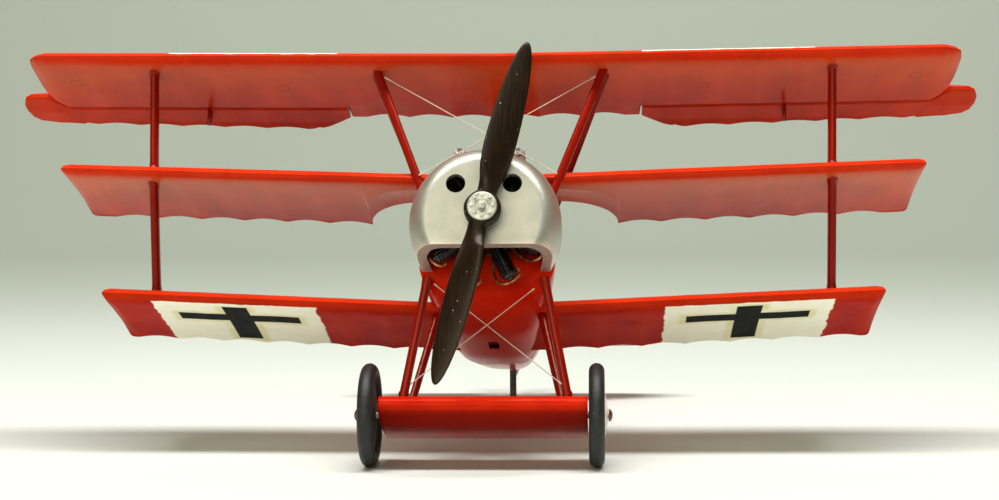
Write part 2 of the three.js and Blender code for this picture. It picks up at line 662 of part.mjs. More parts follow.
function buildEngine() {
  const { plane, caseRadius, caseDepth, cylinders, head, first } = ENGINE;
  const front = plane - caseDepth / 2;
  const rear = plane + caseDepth / 2;
  const drum = turned([[0, front], [caseRadius - 0.5, front], [caseRadius, front + 0.5],
    [caseRadius, rear], [0, rear]], 18);
  const profile = [[0, caseRadius - 0.6], [CYLINDER.core, caseRadius - 0.6]];
  const span = head - 1.1 - (caseRadius + 0.2);
  for (let k = 0; k < CYLINDER.fins; k += 1) {
    const at = caseRadius + 0.2 + (span * k) / CYLINDER.fins;
    profile.push([CYLINDER.core, at], [CYLINDER.fin, at + (0.5 * span) / CYLINDER.fins]);
  }
  profile.push([CYLINDER.core, head - 1.1], [CYLINDER.core, head - 0.35], [0.6, head], [0, head]);
  const cylinder = turned(profile, 8);
  const pipe = tube([
    [-0.7, caseRadius - 0.1, rear + 0.45],
    [-1.7, 6.6, rear + 0.1],
    [-1.95, 8.2, plane + 0.7],
    [-1.3, 9.36, plane + 0.1],
    [0.2, 9.55, plane - 0.1],
    [1.4, 8.95, plane - 0.1],
    [1.55, 8.0, plane],
  ], PIPE_RADIUS, 7, 5);
  const pushrod = rod([0, 2.0, front - 0.3], [0.2, head - 0.4, plane - CYLINDER.fin - 0.25], 0.13, 5);
  let bank = drum;
  let pipes = turned([[2.6, rear + 0.2], [4.1, rear + 0.2], [4.1, rear + 0.65], [2.6, rear + 0.65],
    [2.6, rear + 0.2]], 18);
  let star = turned([[0.95, front - 0.55], [2.3, front - 0.55], [2.3, front - 0.1], [0.95, front - 0.1],
    [0.95, front - 0.55]], 14);
  for (let k = 0; k < cylinders; k += 1) {
    const turn = 180 - first + (360 * k) / cylinders;
    bank = bank.add(cylinder.rotate([90, 0, 0]).rotate([0, turn, 0]).translate([0, plane, 0]));
    pipes = pipes.add(upright(pipe).rotate([0, turn, 0]));
    star = star.add(upright(pushrod).rotate([0, turn, 0]));
  }
  const thrustLine = [0, 0, THRUST_Z];
  addPiece('engine_cylinder_bank', bank.translate(thrustLine), 'black');
  addPiece('engine_intake_pipes', largestBody(pipes).translate(thrustLine), 'copper');
  addPiece('engine_pushrod_star', largestBody(star).translate(thrustLine), 'steel');
}

/** Stand a shape drawn as [sideways, outward, aft] so that outward is +Z and aft is +Y. */
function upright(solid) {
  return solid.rotate([90, 0, 0]).mirror([0, 1, 0]);
}

/** Blade width across the disc at a radius. */
function bladeWidth(r) {
  const rise = Math.sin((Math.PI / 2) * Math.min(1, (r + 1) / BLADE.at)) * BLADE.widest;
  const along = Math.max(0, (r - BLADE.at) / (PROP.radius - BLADE.at));
  return Math.max(BLADE.root, rise) * Math.sqrt(Math.max(0, 1 - along ** 2));
}

/** One ring of the propeller at a signed distance from its middle. */
function bladeRing(z) {
  const r = Math.abs(z);
  const twist = Math.min(0.85, Math.atan(PROP.pitch / (2 * Math.PI * Math.max(r, 4))));
  const width = Math.max(0.5, bladeWidth(r)) / Math.cos(twist);
  const thick = THREE.MathUtils.lerp(2.2, 0.55, Math.min(1, r / 22)) * Math.min(1, width / 2);
  const hand = Math.sign(z) || 1;
  const ring = [];
  for (let k = 0; k < 12; k += 1) {
    const angle = (k / 12) * 2 * Math.PI;
    const across = (Math.cos(angle) * width) / 2;
    const deep = (Math.sin(angle) * thick) / 2;
    const x = across * Math.cos(twist) - deep * Math.sin(twist);
    const y = across * Math.sin(twist) + deep * Math.cos(twist);
    ring.push([x * hand, PROP.plane + y, z]);
  }
  return hand > 0 ? ring : [ring[6], ...ring.slice(0, 6).reverse(), ...ring.slice(7).reverse()];
}

function buildPropeller() {
  const { radius, plane, hubRadius, hubDepth } = PROP;
  const blade = (hand) => {
    const stops = [1.5, 4, 7, 10, 13, 16, 19, 22, 24, 25.4, 26.2, radius];
    return solidFrom(loft(stops.map((r) => bladeRing(r * hand))));
  };
  const hub = rod([0, plane - hubDepth / 2, 0], [0, plane + hubDepth / 2, 0], hubRadius, 20);
  const bore = rod([0, plane - 5, 0], [0, plane + 5, 0], SHAFT_RADIUS + GAP, 12);
  const wood = joined(blade(1), blade(-1), hub).subtract(bore);
  const face = plane - hubDepth / 2 - GAP;
  const faced = trimmed(wood, box(-3, 3, face - 3, face + GAP, -3, 3));
  const thrustLine = [0, 0, THRUST_Z];
  addPiece('propeller', faced.rotate([0, PROP_LEAN, 0]).translate(thrustLine), 'wood');
  let plate = turned([[0, face - HUB_PLATE.thick], [HUB_PLATE.radius - 0.15, face - HUB_PLATE.thick],
    [HUB_PLATE.radius, face - HUB_PLATE.thick + 0.15], [HUB_PLATE.radius, face], [0, face]], 24);
  const front = face - HUB_PLATE.thick;
  for (let k = 0; k < HUB_PLATE.bolts; k += 1) {
    const angle = (k / HUB_PLATE.bolts) * 2 * Math.PI;
    const [x, z] = [HUB_PLATE.boltCircle * Math.cos(angle), HUB_PLATE.boltCircle * Math.sin(angle)];
    plate = plate.add(rod([x, front + 0.1, z], [x, front - 0.22, z], HUB_PLATE.boltRadius, 6));
  }
  plate = plate.add(rod([0, front + 0.1, 0], [0, front - 0.3, 0], 0.6, 6));
  addPiece('propeller_hub_plate', plate.translate(thrustLine), 'steel');
  const shaft = rod([0, face + GAP, 0], [0, ENGINE.plane - ENGINE.caseDepth / 2 - GAP, 0], SHAFT_RADIUS, 12);
  addPiece('propeller_shaft', shaft.translate(thrustLine), 'steel');
}

// ---------------------------------------------------------------- struts and rigging

function buildInterplaneStruts() {
  const rooms = {
    top: wingSolid(TOP, topStations(), GAP),
    mid: wingSolid(MID, midStations(), GAP),
    low: wingSolid(LOW, lowStations(), GAP),
  };
  for (const [name, side] of SIDES) {
    const [topX, midX, lowX] = [STRUT_X.top, STRUT_X.mid, STRUT_X.low].map((x) => side * x);
    const { aft, chord, thick, flare, sunkAbove, sunkBelow } = STRUT;
    const upperEnds = [onWing(MID, midX, aft, sunkAbove), onWing(TOP, topX, aft, sunkBelow)];
    const lowerEnds = [onWing(LOW, lowX, aft, sunkAbove), onWing(MID, midX, aft, sunkBelow)];
    const upper = bar(...upperEnds, chord, thick, flare);
    const lower = bar(...lowerEnds, chord, thick, flare);
    addPiece(`interplane_strut_${name}_upper`, trimmed(upper, rooms.mid, rooms.top), 'red');
    addPiece(`interplane_strut_${name}_lower`, trimmed(lower, rooms.low, rooms.mid), 'red');
  }
  return rooms;
}

function buildCabane(rooms) {
  const hull = hullRoom();
  for (const [name, side] of SIDES) {
    const front = bar([side * 17.5, 11.5, 27], [side * 9.9, 8.75, 5.3], 1.5, 1.3, 1.15);
    const rear = bar([side * 17.9, 13.4, 27], [side * 7.8, 25.0, 2.8], 1.5, 1.15, 1.15);
    const frontBar = trimmed(front, rooms.top, rooms.mid, hull, cowlRoom());
    addPiece(`cabane_strut_${name}_front`, frontBar, 'red');
    const rearBar = trimmed(rear, rooms.top, rooms.mid, hull, front);
    addPiece(`cabane_strut_${name}_rear`, rearBar, 'red');
    const offset = side * 0.16;
    const wire = rod([side * 16.2, 11.0 + offset, 25.1], [side * -10.4, 9.25 + offset, 8.6], 0.1, 6);
    const strutRooms = [1, -1].map((hand) => {
      return bar([hand * 17.5, 11.5, 27], [hand * 9.9, 8.75, 5.3], 1.6, 1.4, 1.15);
    });
    const held = trimmed(wire, ...strutRooms, rooms.top, rooms.mid, cowlRoom());
    addPiece(`cabane_wire_${name}`, held, 'thread');
  }
}

// ---------------------------------------------------------------- undercarriage

/** The axle wing's section, grown by a gap. */
function axleWingSolid(grow) {
  const { leY, leZ, chord, thick, incidence, half } = AXLE_WING;
  const ring = (x) => {
    const points = [];
    const steps = [0, 0.06, 0.2, 0.45, 0.75, 1];
    const place = (u, side) => {
      const swell = Math.min(1, Math.sqrt(u / 0.3)) * (u < 0.3 ? 1 : 1 - ((u - 0.3) / 0.7) ** 2 * 0.9);
      const h = side * (thick / 2) * swell;
      const s = u * chord + grow * (2 * u - 1);
      const angle = radians(incidence);
      const lift = h + (u > 0 ? side * grow : 0);
      const y = leY + s * Math.cos(angle) + lift * Math.sin(angle);
      return [x, y, leZ - s * Math.sin(angle) + lift * Math.cos(angle)];
    };
    for (const u of [...steps].reverse()) points.push(place(u, 1));
    for (const u of steps.slice(1)) points.push(place(u, -1));
    return points;
  };
  return solidFrom(loft([ring(-half - grow), ring(half + grow)]));
}

function buildUndercarriage(rooms) {
  const hull = hullRoom().add(rooms.low);
  const axleWing = axleWingSolid(0);
  const axleBore = rod([-30, WHEEL.y, WHEEL.z], [30, WHEEL.y, WHEEL.z], AXLE_RADIUS + GAP, 12);
  addPiece('axle_wing', trimmed(axleWing, axleBore), 'red');
  const axleHalf = WHEEL.track + CAP.recess - GAP;
  const axleEnds = [-axleHalf, axleHalf].map((x) => [x + WHEEL.slide, WHEEL.y, WHEEL.z]);
  addPiece('axle', rod(...axleEnds, AXLE_RADIUS, 12), 'steel');
  const axleRoom = axleWingSolid(GAP);
  const legs = {};
  for (const [name, side] of SIDES) {
    const front = bar([side * 8.5, 8.0, -7.4], [side * 12.3, 10.4, -27.2], 1.7, 1.3, 1.2);
    const rear = bar([side * 7.8, 19.2, -10.3], [side * 11.5, 13.2, -27.4], 1.7, 1.2, 1.2);
    legs[name] = trimmed(front, hull, cowlRoom(), axleRoom);
    addPiece(`undercarriage_leg_${name}_front`, legs[name], 'red');
    addPiece(`undercarriage_leg_${name}_rear`, trimmed(rear, hull, axleRoom, front), 'red');
  }
  const ends = [
    ['left', [7.1, 8.1, -9.6], [-11.0, 9.75, -23.6]],
    ['right', [-7.6, 7.9, -8.9], [11.1, 9.45, -23.6]],
  ];
  for (const [name, from, to] of ends) {
    const wire = trimmed(rod(from, to, 0.1, 6), legs.left, legs.right, hull, cowlRoom());
    addPiece(`undercarriage_wire_${name}`, wire, 'thread');
  }
  for (const [name, side] of SIDES) buildWheel(name, side);
}

function buildWheel(name, side) {
  const centre = [side * WHEEL.track + WHEEL.slide, WHEEL.y, WHEEL.z];
  const rotation = [0, 0, (-side * Math.PI) / 2];
  const { radius, halfWidth, section } = WHEEL;
  const tyre = [];
  for (let k = 0; k <= 8; k += 1) {
    const angle = (k / 8) * 2 * Math.PI;
    tyre.push([radius - section + section * Math.cos(angle), halfWidth * Math.sin(angle)]);
  }
  const bore = AXLE_RADIUS + RUNNING_GAP;
  const rim = radius - 2 * section - 0.12;
  const { plate, waist } = HUB;
  const cover = (face, edge) => [
    [bore, face - plate], [waist, face - plate], [rim, edge], [rim, edge + plate * 0.9],
    [waist, face], [bore, face], [bore, face - plate],
  ];
  const outer = cover(HUB.outer, 0.4);
  const inner = cover(HUB.inner + plate, -0.76);
  addPiece(`tyre_${name}`, turned(tyre, 28), 'rubber', { position: centre, rotation });
  addPiece(`wheel_cover_outer_${name}`, turned(outer, 20), 'white', { position: centre, rotation });
  addPiece(`wheel_cover_inner_${name}`, turned(inner, 20), 'black', { position: centre, rotation });
  const { foot, recess, crown } = CAP;
  const cap = [
    [0, crown], [CAP.radius / 2, crown - 0.05], [CAP.radius, foot],
    [AXLE_RADIUS + GAP, foot], [AXLE_RADIUS + GAP, recess], [0, recess],
  ];
  addPiece(`axle_cap_${name}`, turned(cap, 12), 'leather', { position: centre, rotation });
}

// ---------------------------------------------------------------- tail

function buildTail() {
  const { z, thick, apex, hinge, half, rear } = TAIL;
  const low = z - thick / 2;
  const plan = new THREE.Shape();
  plan.moveTo(-1.5, apex);
  plan.lineTo(1.5, apex);
  plan.lineTo(half - 3, hinge - 5.4);
  plan.quadraticCurveTo(half, hinge - 4.2, half, hinge - 0.75);
  plan.lineTo(-half, hinge - 0.75);
  plan.quadraticCurveTo(-half, hinge - 4.2, -half + 3, hinge - 5.4);
  const knuckle = box(-1, 1, hinge - 1.2, hinge + 0.45, low, low + thick);
  const bore = rod([-40, hinge, z], [40, hinge, z], HINGE_ROD.bore, 8);
  addPiece('tailplane', trimmed(levelPlate(plan, low, thick).add(knuckle), bore), 'red');
  const moving = new THREE.Shape();
  moving.moveTo(3.2, hinge - 0.6);
  moving.lineTo(half + 0.35, hinge - 0.6);
  moving.lineTo(half + 0.35, hinge - 3.6);
  moving.quadraticCurveTo(half + 4.2, hinge - 3.4, half + 4.2, hinge + 1.5);
  moving.quadraticCurveTo(half + 3.4, rear - 0.6, half - 3, rear - 0.3);
  moving.lineTo(3.2, rear);
  const port = levelPlate(moving, low, thick);
  const spar = box(-3.4, 3.4, hinge - 0.6, hinge + 0.95, low, low + thick);
  const notch = box(-1.15, 1.15, hinge - 2, hinge + 0.86, low - 1, low + thick + 1);
  const tie = box(-3.4, 3.4, hinge + 0.84, hinge + 1.6, low, low + thick);
  const elevator = joined(port, port.mirror([1, 0, 0]), spar).subtract(notch).add(tie);
  addPiece('elevator', trimmed(elevator, bore), 'red');
  addPiece('elevator_hinge_rod', rod([-21, hinge, z], [21, hinge, z], HINGE_ROD.radius, 8), 'steel');
  buildRudder();
  buildSkid();
}

function buildRudder() {
  const { hinge, thick, bottom, top } = RUDDER;
  const comma = new THREE.Shape();
  comma.moveTo(hinge - 0.6, bottom);
  comma.lineTo(hinge + 3.2, bottom);
  comma.bezierCurveTo(hinge + 8.2, bottom + 2, hinge + 8.6, top - 1, hinge + 0.5, top);
  comma.bezierCurveTo(hinge - 4.4, top, hinge - 5.4, 11.2, hinge - 2.6, 9.9);
  comma.bezierCurveTo(hinge - 1.2, 9.6, hinge - 0.6, 9.2, hinge - 0.6, 8.2);
  const blade = uprightPlate(comma, 0, thick, 8);
  const bore = rod([0, hinge, -5], [0, hinge, 12.6], HINGE_ROD.bore, 8);
  addPiece('rudder', trimmed(blade, bore), 'red');
  const pin = joined(
    rod([0, hinge, 0.9], [0, hinge, 12.3], HINGE_ROD.radius, 8),
    box(-0.35, 0.35, hinge - 1.1, hinge + 0.3, 1.0, 1.8),
    box(-0.3, 0.3, hinge - 1.1, hinge - 0.8, 1.0, 5.2),
  );
  addPiece('rudder_hinge_pin', trimmed(pin, hullRoom()), 'steel');
}

/** The height of the ground, in the aircraft's frame, at a distance aft. */
function groundAt(y) {
  const down = WHEEL.z * Math.cos(NOSE_UP) - WHEEL.y * Math.sin(NOSE_UP) - WHEEL.radius;
  return (down + y * Math.sin(NOSE_UP)) / Math.cos(NOSE_UP);
}

function buildSkid() {
  const foot = [101.0, 103.6];
  const outline = new THREE.Shape();
  outline.moveTo(foot[0], groundAt(foot[0]));
  outline.lineTo(foot[1], groundAt(foot[1]));
  outline.lineTo(foot[1] + 0.1, groundAt(foot[1]) + 0.9);
  outline.lineTo(102.6, groundAt(102.6) + 1.3);
  outline.lineTo(99.6, 1.6);
  outline.lineTo(98.0, 1.6);
  const skid = uprightPlate(outline, 0, 1.2);
  addPiece('tail_skid', trimmed(skid, hullRoom()), 'timber');
}

// ---------------------------------------------------------------- the aircraft

buildFuselage();
buildCockpit();
buildCowling();
buildGuns();
buildEngine();
buildPropeller();
buildWings();
buildAilerons();
const wingRooms = buildInterplaneStruts();
buildCabane(wingRooms);
buildUndercarriage(wingRooms);
buildTail();

aircraft.rotation.x = -NOSE_UP;
const model = new THREE.Group();
model.add(aircraft);
model.updateMatrixWorld(true);
const extent = new THREE.Box3().setFromObject(model, true);
const centre = extent.getCenter(new THREE.Vector3());
aircraft.position.set(0, -centre.y, -extent.min.z);

export default model;
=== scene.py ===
"""Looks of a display model of a three-winged fighter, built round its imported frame.

Shapes are worked out in the aircraft's own frame, in millimetres: the origin is the middle of the
cowling's front face, +X is the pilot's left, +Y runs aft and +Z is up. Craft takes them to the row
frame, in metres, where the aircraft stands nose-up on its wheels and tail skid.
"""

import logging
import math
from collections.abc import Callable
from dataclasses import dataclass
from enum import Enum

import bmesh
import bpy
import numpy as np
from mathutils import Matrix, Vector


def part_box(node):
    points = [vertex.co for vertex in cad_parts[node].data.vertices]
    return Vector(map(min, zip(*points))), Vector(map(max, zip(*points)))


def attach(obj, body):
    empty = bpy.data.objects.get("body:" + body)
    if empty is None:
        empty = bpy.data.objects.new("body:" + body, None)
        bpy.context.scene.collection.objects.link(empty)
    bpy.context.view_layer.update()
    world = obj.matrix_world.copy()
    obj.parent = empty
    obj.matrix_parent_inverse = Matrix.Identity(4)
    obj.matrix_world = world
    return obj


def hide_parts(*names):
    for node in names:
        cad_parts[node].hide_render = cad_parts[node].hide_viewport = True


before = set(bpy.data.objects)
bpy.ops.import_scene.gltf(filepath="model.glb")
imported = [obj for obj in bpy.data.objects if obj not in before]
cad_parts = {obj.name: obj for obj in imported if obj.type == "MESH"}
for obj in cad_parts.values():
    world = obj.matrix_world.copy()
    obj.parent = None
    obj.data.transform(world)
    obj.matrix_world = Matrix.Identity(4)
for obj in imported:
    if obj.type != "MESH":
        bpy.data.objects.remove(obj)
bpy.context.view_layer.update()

LOG = logging.getLogger("triplane")
Array = np.ndarray
Shape = tuple[np.ndarray, list]
Material = bpy.types.Material
Thing = bpy.types.Object
Point = tuple[float, float, float]
Colour = tuple[float, float, float]

NOSE_UP = math.radians(18.4)
AXLE_Y, AXLE_Z = 11.9, -27.7
AXLE_WING_TILT = math.radians(11.5)
THRUST_Z = -0.7
SIDES = (("left", 1), ("right", -1))

# Vertex attributes: the place in the aircraft's frame, and on wings (x, distance aft, above or below).
ATTRIBUTE = "craft"
WING_ATTRIBUTE = "wing"

# How meshes are cleaned: metres, then angles between faces.
WELD = 2e-6
FLAT = math.radians(0.5)
BEVEL_ANGLE = math.radians(30)
TINY = 1e-3

# A strut's oval: its share ahead of and behind the middle, and how much finer it is behind.
STRUT_AHEAD, STRUT_BEHIND, STRUT_TAPER = 0.85, 1.15, 0.18
# A direction that no pipe or wire follows.
SKEW = (0.31, 0.17, 0.93)


class Body(Enum):
    """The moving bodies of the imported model."""

    AIRFRAME = "airframe"
    ROTOR = "rotor"
    WHEEL_LEFT = "wheel_left"
    WHEEL_RIGHT = "wheel_right"
    AILERON_LEFT = "aileron_left"
    AILERON_RIGHT = "aileron_right"
    ELEVATOR = "elevator"
    RUDDER = "rudder"


def srgb(red: int, green: int, blue: int) -> Colour:
    """A linear colour.

    Args:
        red, green, blue: its everyday 0 to 255 numbers.

    Returns:
        Three linear values from 0 to 1.
    """
    return tuple((value / 255) ** 2.2 for value in (red, green, blue))


# ---------------------------------------------------------------- placing


class Craft:
    """Where the aircraft's own frame lies in the row frame."""

    def __init__(self) -> None:
        """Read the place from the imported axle, whose middle is known in both frames."""
        low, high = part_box("axle")
        middle = (np.array(low) + np.array(high)) / 2
        self.turn = np.array([
            [1, 0, 0],
            [0, math.cos(NOSE_UP), math.sin(NOSE_UP)],
            [0, -math.sin(NOSE_UP), math.cos(NOSE_UP)],
        ])
        self.shift = middle - self.turn @ np.array([0, AXLE_Y, AXLE_Z]) / 1000
        self.shift[0] = 0

    def to_row(self, points: Array) -> Array:
        """Millimetres of the aircraft's frame to metres of the row frame."""
        return points @ self.turn.T / 1000 + self.shift

    def to_craft(self, points: Array) -> Array:
        """Metres of the row frame to millimetres of the aircraft's frame."""
        return (points - self.shift) @ self.turn * 1000


CRAFT = Craft()


# ---------------------------------------------------------------- surfaces


def loft(rings: Array, endless: bool = False) -> Shape:
    """A closed skin over rings of points.

    Point (r, k) of the grid joins (r + 1, k) and (r, k + 1), with k turning round; each end is
    closed by a fan round the ring's mean, and the skin is turned so that its volume is positive.

    Args:
        rings: an array of rings by points by three.
        endless: True where the last ring joins the first.

    Returns:
        The points, and the faces as lists of point numbers.
    """
    count, around = rings.shape[:2]
    points = rings.reshape(-1, 3)
    last = count if endless else count - 1
    here = np.arange(last)[:, None] * around
    ahead = (np.arange(last)[:, None] + 1) % count * around
    k = np.arange(around)[None, :]
    turn = (k + 1) % around
    quads = np.stack([here + k, here + turn, ahead + turn, ahead + k], axis=-1).reshape(-1, 4)
    faces = quads.tolist()
    if not endless:
        ends = np.stack([rings[0].mean(0), rings[-1].mean(0)])
        points = np.concatenate([points, ends])
        first, rear = len(points) - 2, len(points) - 1
        base = (count - 1) * around
        fan = np.arange(around)
        faces += np.stack([np.full(around, first), (fan + 1) % around, fan], axis=-1).tolist()
        faces += np.stack([np.full(around, rear), base + fan, base + (fan + 1) % around], axis=-1).tolist()
    corners = points[quads[:, :3]]
    other = points[quads[:, [0, 2, 3]]]
    volume = sum(np.einsum("ij,ij->i", c[:, 0], np.cross(c[:, 1], c[:, 2])).sum() for c in (corners, other))
    if not endless:
        fans = np.array([face for face in faces if len(face) == 3])
        c = points[fans]
        volume += np.einsum("ij,ij->i", c[:, 0], np.cross(c[:, 1], c[:, 2])).sum()
    if volume < 0:
        faces = [face[::-1] for face in faces]
    return points, faces


def turned(profile: Array, sides: int) -> Shape:
    """A solid of revolution about the Y axis.

    Args:
        profile: rows of (radius, y); each becomes a circle of points.
        sides: the points in a circle.

    Returns:
        Its points and faces, closed at both ends.
    """
    profile = np.asarray(profile, float)
    angle = np.linspace(0, 2 * np.pi, sides, endpoint=False)
    radius = np.maximum(profile[:, :1], TINY)
    rings = np.stack([
        radius * np.cos(angle), np.repeat(profile[:, 1:], sides, 1), radius * np.sin(angle),
    ], axis=-1)
    return loft(rings)


def hoop(profile: Array, sides: int) -> Shape:
    """A ring-shaped body about the Y axis.

    Args:
        profile: a closed outline of (radius, y) rows, away from the axis.
        sides: how many times it is repeated round the axis.

    Returns:
        Its points and faces.
    """
    turn = np.linspace(0, 2 * np.pi, sides, endpoint=False)
    ring = np.stack([
        profile[None, :, 0] * np.cos(turn)[:, None], np.repeat(profile[None, :, 1], sides, 0),
        profile[None, :, 0] * np.sin(turn)[:, None],
    ], axis=-1)
    return loft(ring, True)


def smooth_path(points: list[Point], count: int) -> Array:
    """A smooth curve through points: Catmull-Rom, each stretch a cubic of its four nearest.

    Args:
        points: the places it passes.
        count: how many points to return.

    Returns:
        Points evenly spaced in the curve's parameter.
    """
    p = np.asarray(points, float)
    p = np.concatenate([[2 * p[0] - p[1]], p, [2 * p[-1] - p[-2]]])
    t = np.linspace(0, len(points) - 1 - 1e-9, count)
    i, f = t.astype(int), (t % 1)[:, None]
    a, b, c, d = p[i], p[i + 1], p[i + 2], p[i + 3]
    return 0.5 * (2 * b + (c - a) * f + (2 * a - 5 * b + 4 * c - d) * f**2 + (3 * b - a - 3 * c + d) * f**3)


def tube(path: Array, radius: Array | float, sides: int = 14) -> Shape:
    """A round tube: circles square to a path.

    Args:
        path: the points of its middle line.
        radius: one radius, or one for each point.
        sides: the points in a circle.

    Returns:
        Its points and faces, closed at both ends.
    """
    path = np.asarray(path, float)
    along = np.gradient(path, axis=0)
    along /= np.linalg.norm(along, axis=1, keepdims=True)
    across = np.cross(along, SKEW)
    across /= np.linalg.norm(across, axis=1, keepdims=True)
    other = np.cross(along, across)
    angle = np.linspace(0, 2 * np.pi, sides, endpoint=False)
    size = np.broadcast_to(np.asarray(radius, float), (len(path),))[:, None, None]
    rings = path[:, None] + size * (
        np.cos(angle)[None, :, None] * across[:, None] + np.sin(angle)[None, :, None] * other[:, None]
    )
    return loft(rings)


def streamlined_bar(
    start: Point, end: Point, chord: float, thick: float, flare: float = 1.3, reach: float = 0.1,
    steps: int = 40, sides: int = 28,
) -> Shape:
    """A strut: an oval section, blunt in front and finer behind, carried from start to end.

    The section's point at angle a lies chord/2 cos(a) aft and thick/2 sin(a) across.

    Args:
        start, end: the ends of its middle line.
        chord, thick: the oval's length and width.
        flare, reach: how much it swells at each end, and over what share of its length.
        steps, sides: the sections, and the points in each.

    Returns:
        Its points and faces.
    """
    a, b = np.asarray(start, float), np.asarray(end, float)
    along = (b - a) / np.linalg.norm(b - a)
    aft = np.array([0, 1.0, 0])
    aft -= along * (aft @ along)
    aft /= np.linalg.norm(aft)
    across = np.cross(along, aft)
    t = np.linspace(0, 1, steps)
    spread = np.minimum(t, 1 - t)
    grow = 1 + (flare - 1) * np.exp(-((spread / reach) ** 2))
    angle = np.linspace(0, 2 * np.pi, sides, endpoint=False)
    lengthwise = np.cos(angle) * chord / 2
    lengthwise = lengthwise * np.where(lengthwise > 0, STRUT_BEHIND, STRUT_AHEAD)
    crosswise = np.sin(angle) * thick / 2 * (1 - STRUT_TAPER * np.cos(angle))
    rings = (
        a + (b - a) * t[:, None, None]
        + grow[:, None, None] * (lengthwise[None, :, None] * aft + crosswise[None, :, None] * across)
    )
    return loft(rings)


def merged(*shapes: Shape) -> Shape:
    """Several closed skins in one list of points and faces."""
    points, faces, offset = [], [], 0
    for shape_points, shape_faces in shapes:
        points.append(shape_points)
        faces += [[number + offset for number in face] for face in shape_faces]
        offset += len(shape_points)
    return np.concatenate(points), faces


def moved(shape: Shape, offset: Point) -> Shape:
    """Slide a shape.

    Args:
        shape: its points and faces.
        offset: how far along X, Y and Z.

    Returns:
        The moved shape.
    """
    return shape[0] + np.asarray(offset, float), shape[1]


def turned_about_y(shape: Shape, degrees: float) -> Shape:
    """Turn a shape about the Y axis.

    Args:
        shape: its points and faces.
        degrees: the angle, positive from +Z towards +X.

    Returns:
        The turned shape.
    """
    angle = math.radians(degrees)
    turn = np.array([
        [math.cos(angle), 0, math.sin(angle)], [0, 1, 0], [-math.sin(angle), 0, math.cos(angle)],
    ])
    return shape[0] @ turn.T, shape[1]


def block(x0: float, x1: float, y0: float, y1: float, z0: float, z1: float) -> Shape:
    """A block between two limits along each axis, as a loft of two rectangles.

    Args:
        x0, x1, y0, y1, z0, z1: the limits.

    Returns:
        Its points and faces.
    """
    square = np.array([[x0, 0, z0], [x1, 0, z0], [x1, 0, z1], [x0, 0, z1]], float)
    return loft(np.stack([square + [0, y0, 0], square + [0, y1, 0]]))


# ---------------------------------------------------------------- pieces


@dataclass
class Piece:
    """A piece of the aircraft: its shape in the aircraft's frame, and how it is hung and dressed."""

    name: str
    body: Body
    nodes: tuple[str, ...]
    slot: str
    material: Material
    crease: float = 38.0

    def from_shape(self, shape: Shape, bevel: float = 0, cutters: tuple = ()) -> Thing:
        """Make the piece from a surface.

        Args:
            shape: its points, in the aircraft's frame, and its faces.
            bevel: the width of its rounded edges, in millimetres.
            cutters: closed shapes to cut away.

        Returns:
            The finished object.
        """
        return self.finish(carved(mesh_object(self.name, shape), cutters), bevel)

    def from_node(self, node: str, bevel: float = 0) -> Thing:
        """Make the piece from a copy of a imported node's mesh, with its doubled points welded.

        Args:
            node: whose mesh it is.
            bevel: the width of its edge bevels in millimetres, or 0 for none.

        Returns:
            The finished object.
        """
        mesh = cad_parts[node].data.copy()
        mesh.materials.clear()
        tool = bmesh.new()
        tool.from_mesh(mesh)
        bmesh.ops.remove_doubles(tool, verts=tool.verts, dist=WELD)
        bmesh.ops.dissolve_limit(tool, angle_limit=FLAT, verts=tool.verts, edges=tool.edges)
        tool.to_mesh(mesh)
        tool.free()
        thing = bpy.data.objects.new(self.name, mesh)
        bpy.context.scene.collection.objects.link(thing)
        return self.finish(thing, bevel)

    def finish(self, thing: Thing, bevel: float) -> Thing:
        """Bevel, shade, give the aircraft's coordinates as an attribute, and hang on the body.

        Args:
            thing: the object so far.
            bevel: the width of its edge bevels in millimetres, or 0 for none.

        Returns:
            The same object.
        """
        if bevel:
            edge = thing.modifiers.new("edges", "BEVEL")
            edge.width, edge.segments, edge.limit_method = bevel / 1000, 2, "ANGLE"
            edge.angle_limit = BEVEL_ANGLE
            bake_modifiers(thing)
        mesh = thing.data
        mesh.materials.clear()
        mesh.materials.append(self.material)
        mesh.shade_smooth()
        mesh.set_sharp_from_angle(angle=math.radians(self.crease))
        points = np.empty(len(mesh.vertices) * 3)
        mesh.vertices.foreach_get("co", points)
        store(thing, ATTRIBUTE, CRAFT.to_craft(points.reshape(-1, 3)))
        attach(thing, self.body.value)
        if self.nodes:
            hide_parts(*self.nodes)
        LOG.info("%s: %d faces on %s", self.name, len(mesh.polygons), self.body.value)
        return thing


def store(thing: Thing, name: str, values: Array) -> None:
    """Keep three numbers at each vertex of an object, as an attribute for its material.

    Args:
        thing, name: the object, and the attribute's name.
        values: a row for each vertex.
    """
    layer = thing.data.attributes.new(name, "FLOAT_VECTOR", "POINT")
    layer.data.foreach_set("vector", values.astype(np.float32).ravel())


def mesh_object(name: str, shape: Shape) -> Thing:
    """Make an object in the row frame from a shape in the aircraft's frame.

    Args:
        name: the object's.
        shape: points in millimetres, and faces.

    Returns:
        The object, linked to the scene.
    """
    points, faces = shape
    mesh = bpy.data.meshes.new(name)
    mesh.from_pydata(CRAFT.to_row(points).tolist(), [], faces)
    mesh.validate()
    thing = bpy.data.objects.new(name, mesh)
    bpy.context.scene.collection.objects.link(thing)
    return thing


def bake_modifiers(thing: Thing) -> None:
    """Put the result of an object's modifiers into its mesh."""
    graph = bpy.context.evaluated_depsgraph_get()
    graph.update()
    mesh = bpy.data.meshes.new_from_object(thing.evaluated_get(graph))
    thing.modifiers.clear()
    thing.data = mesh


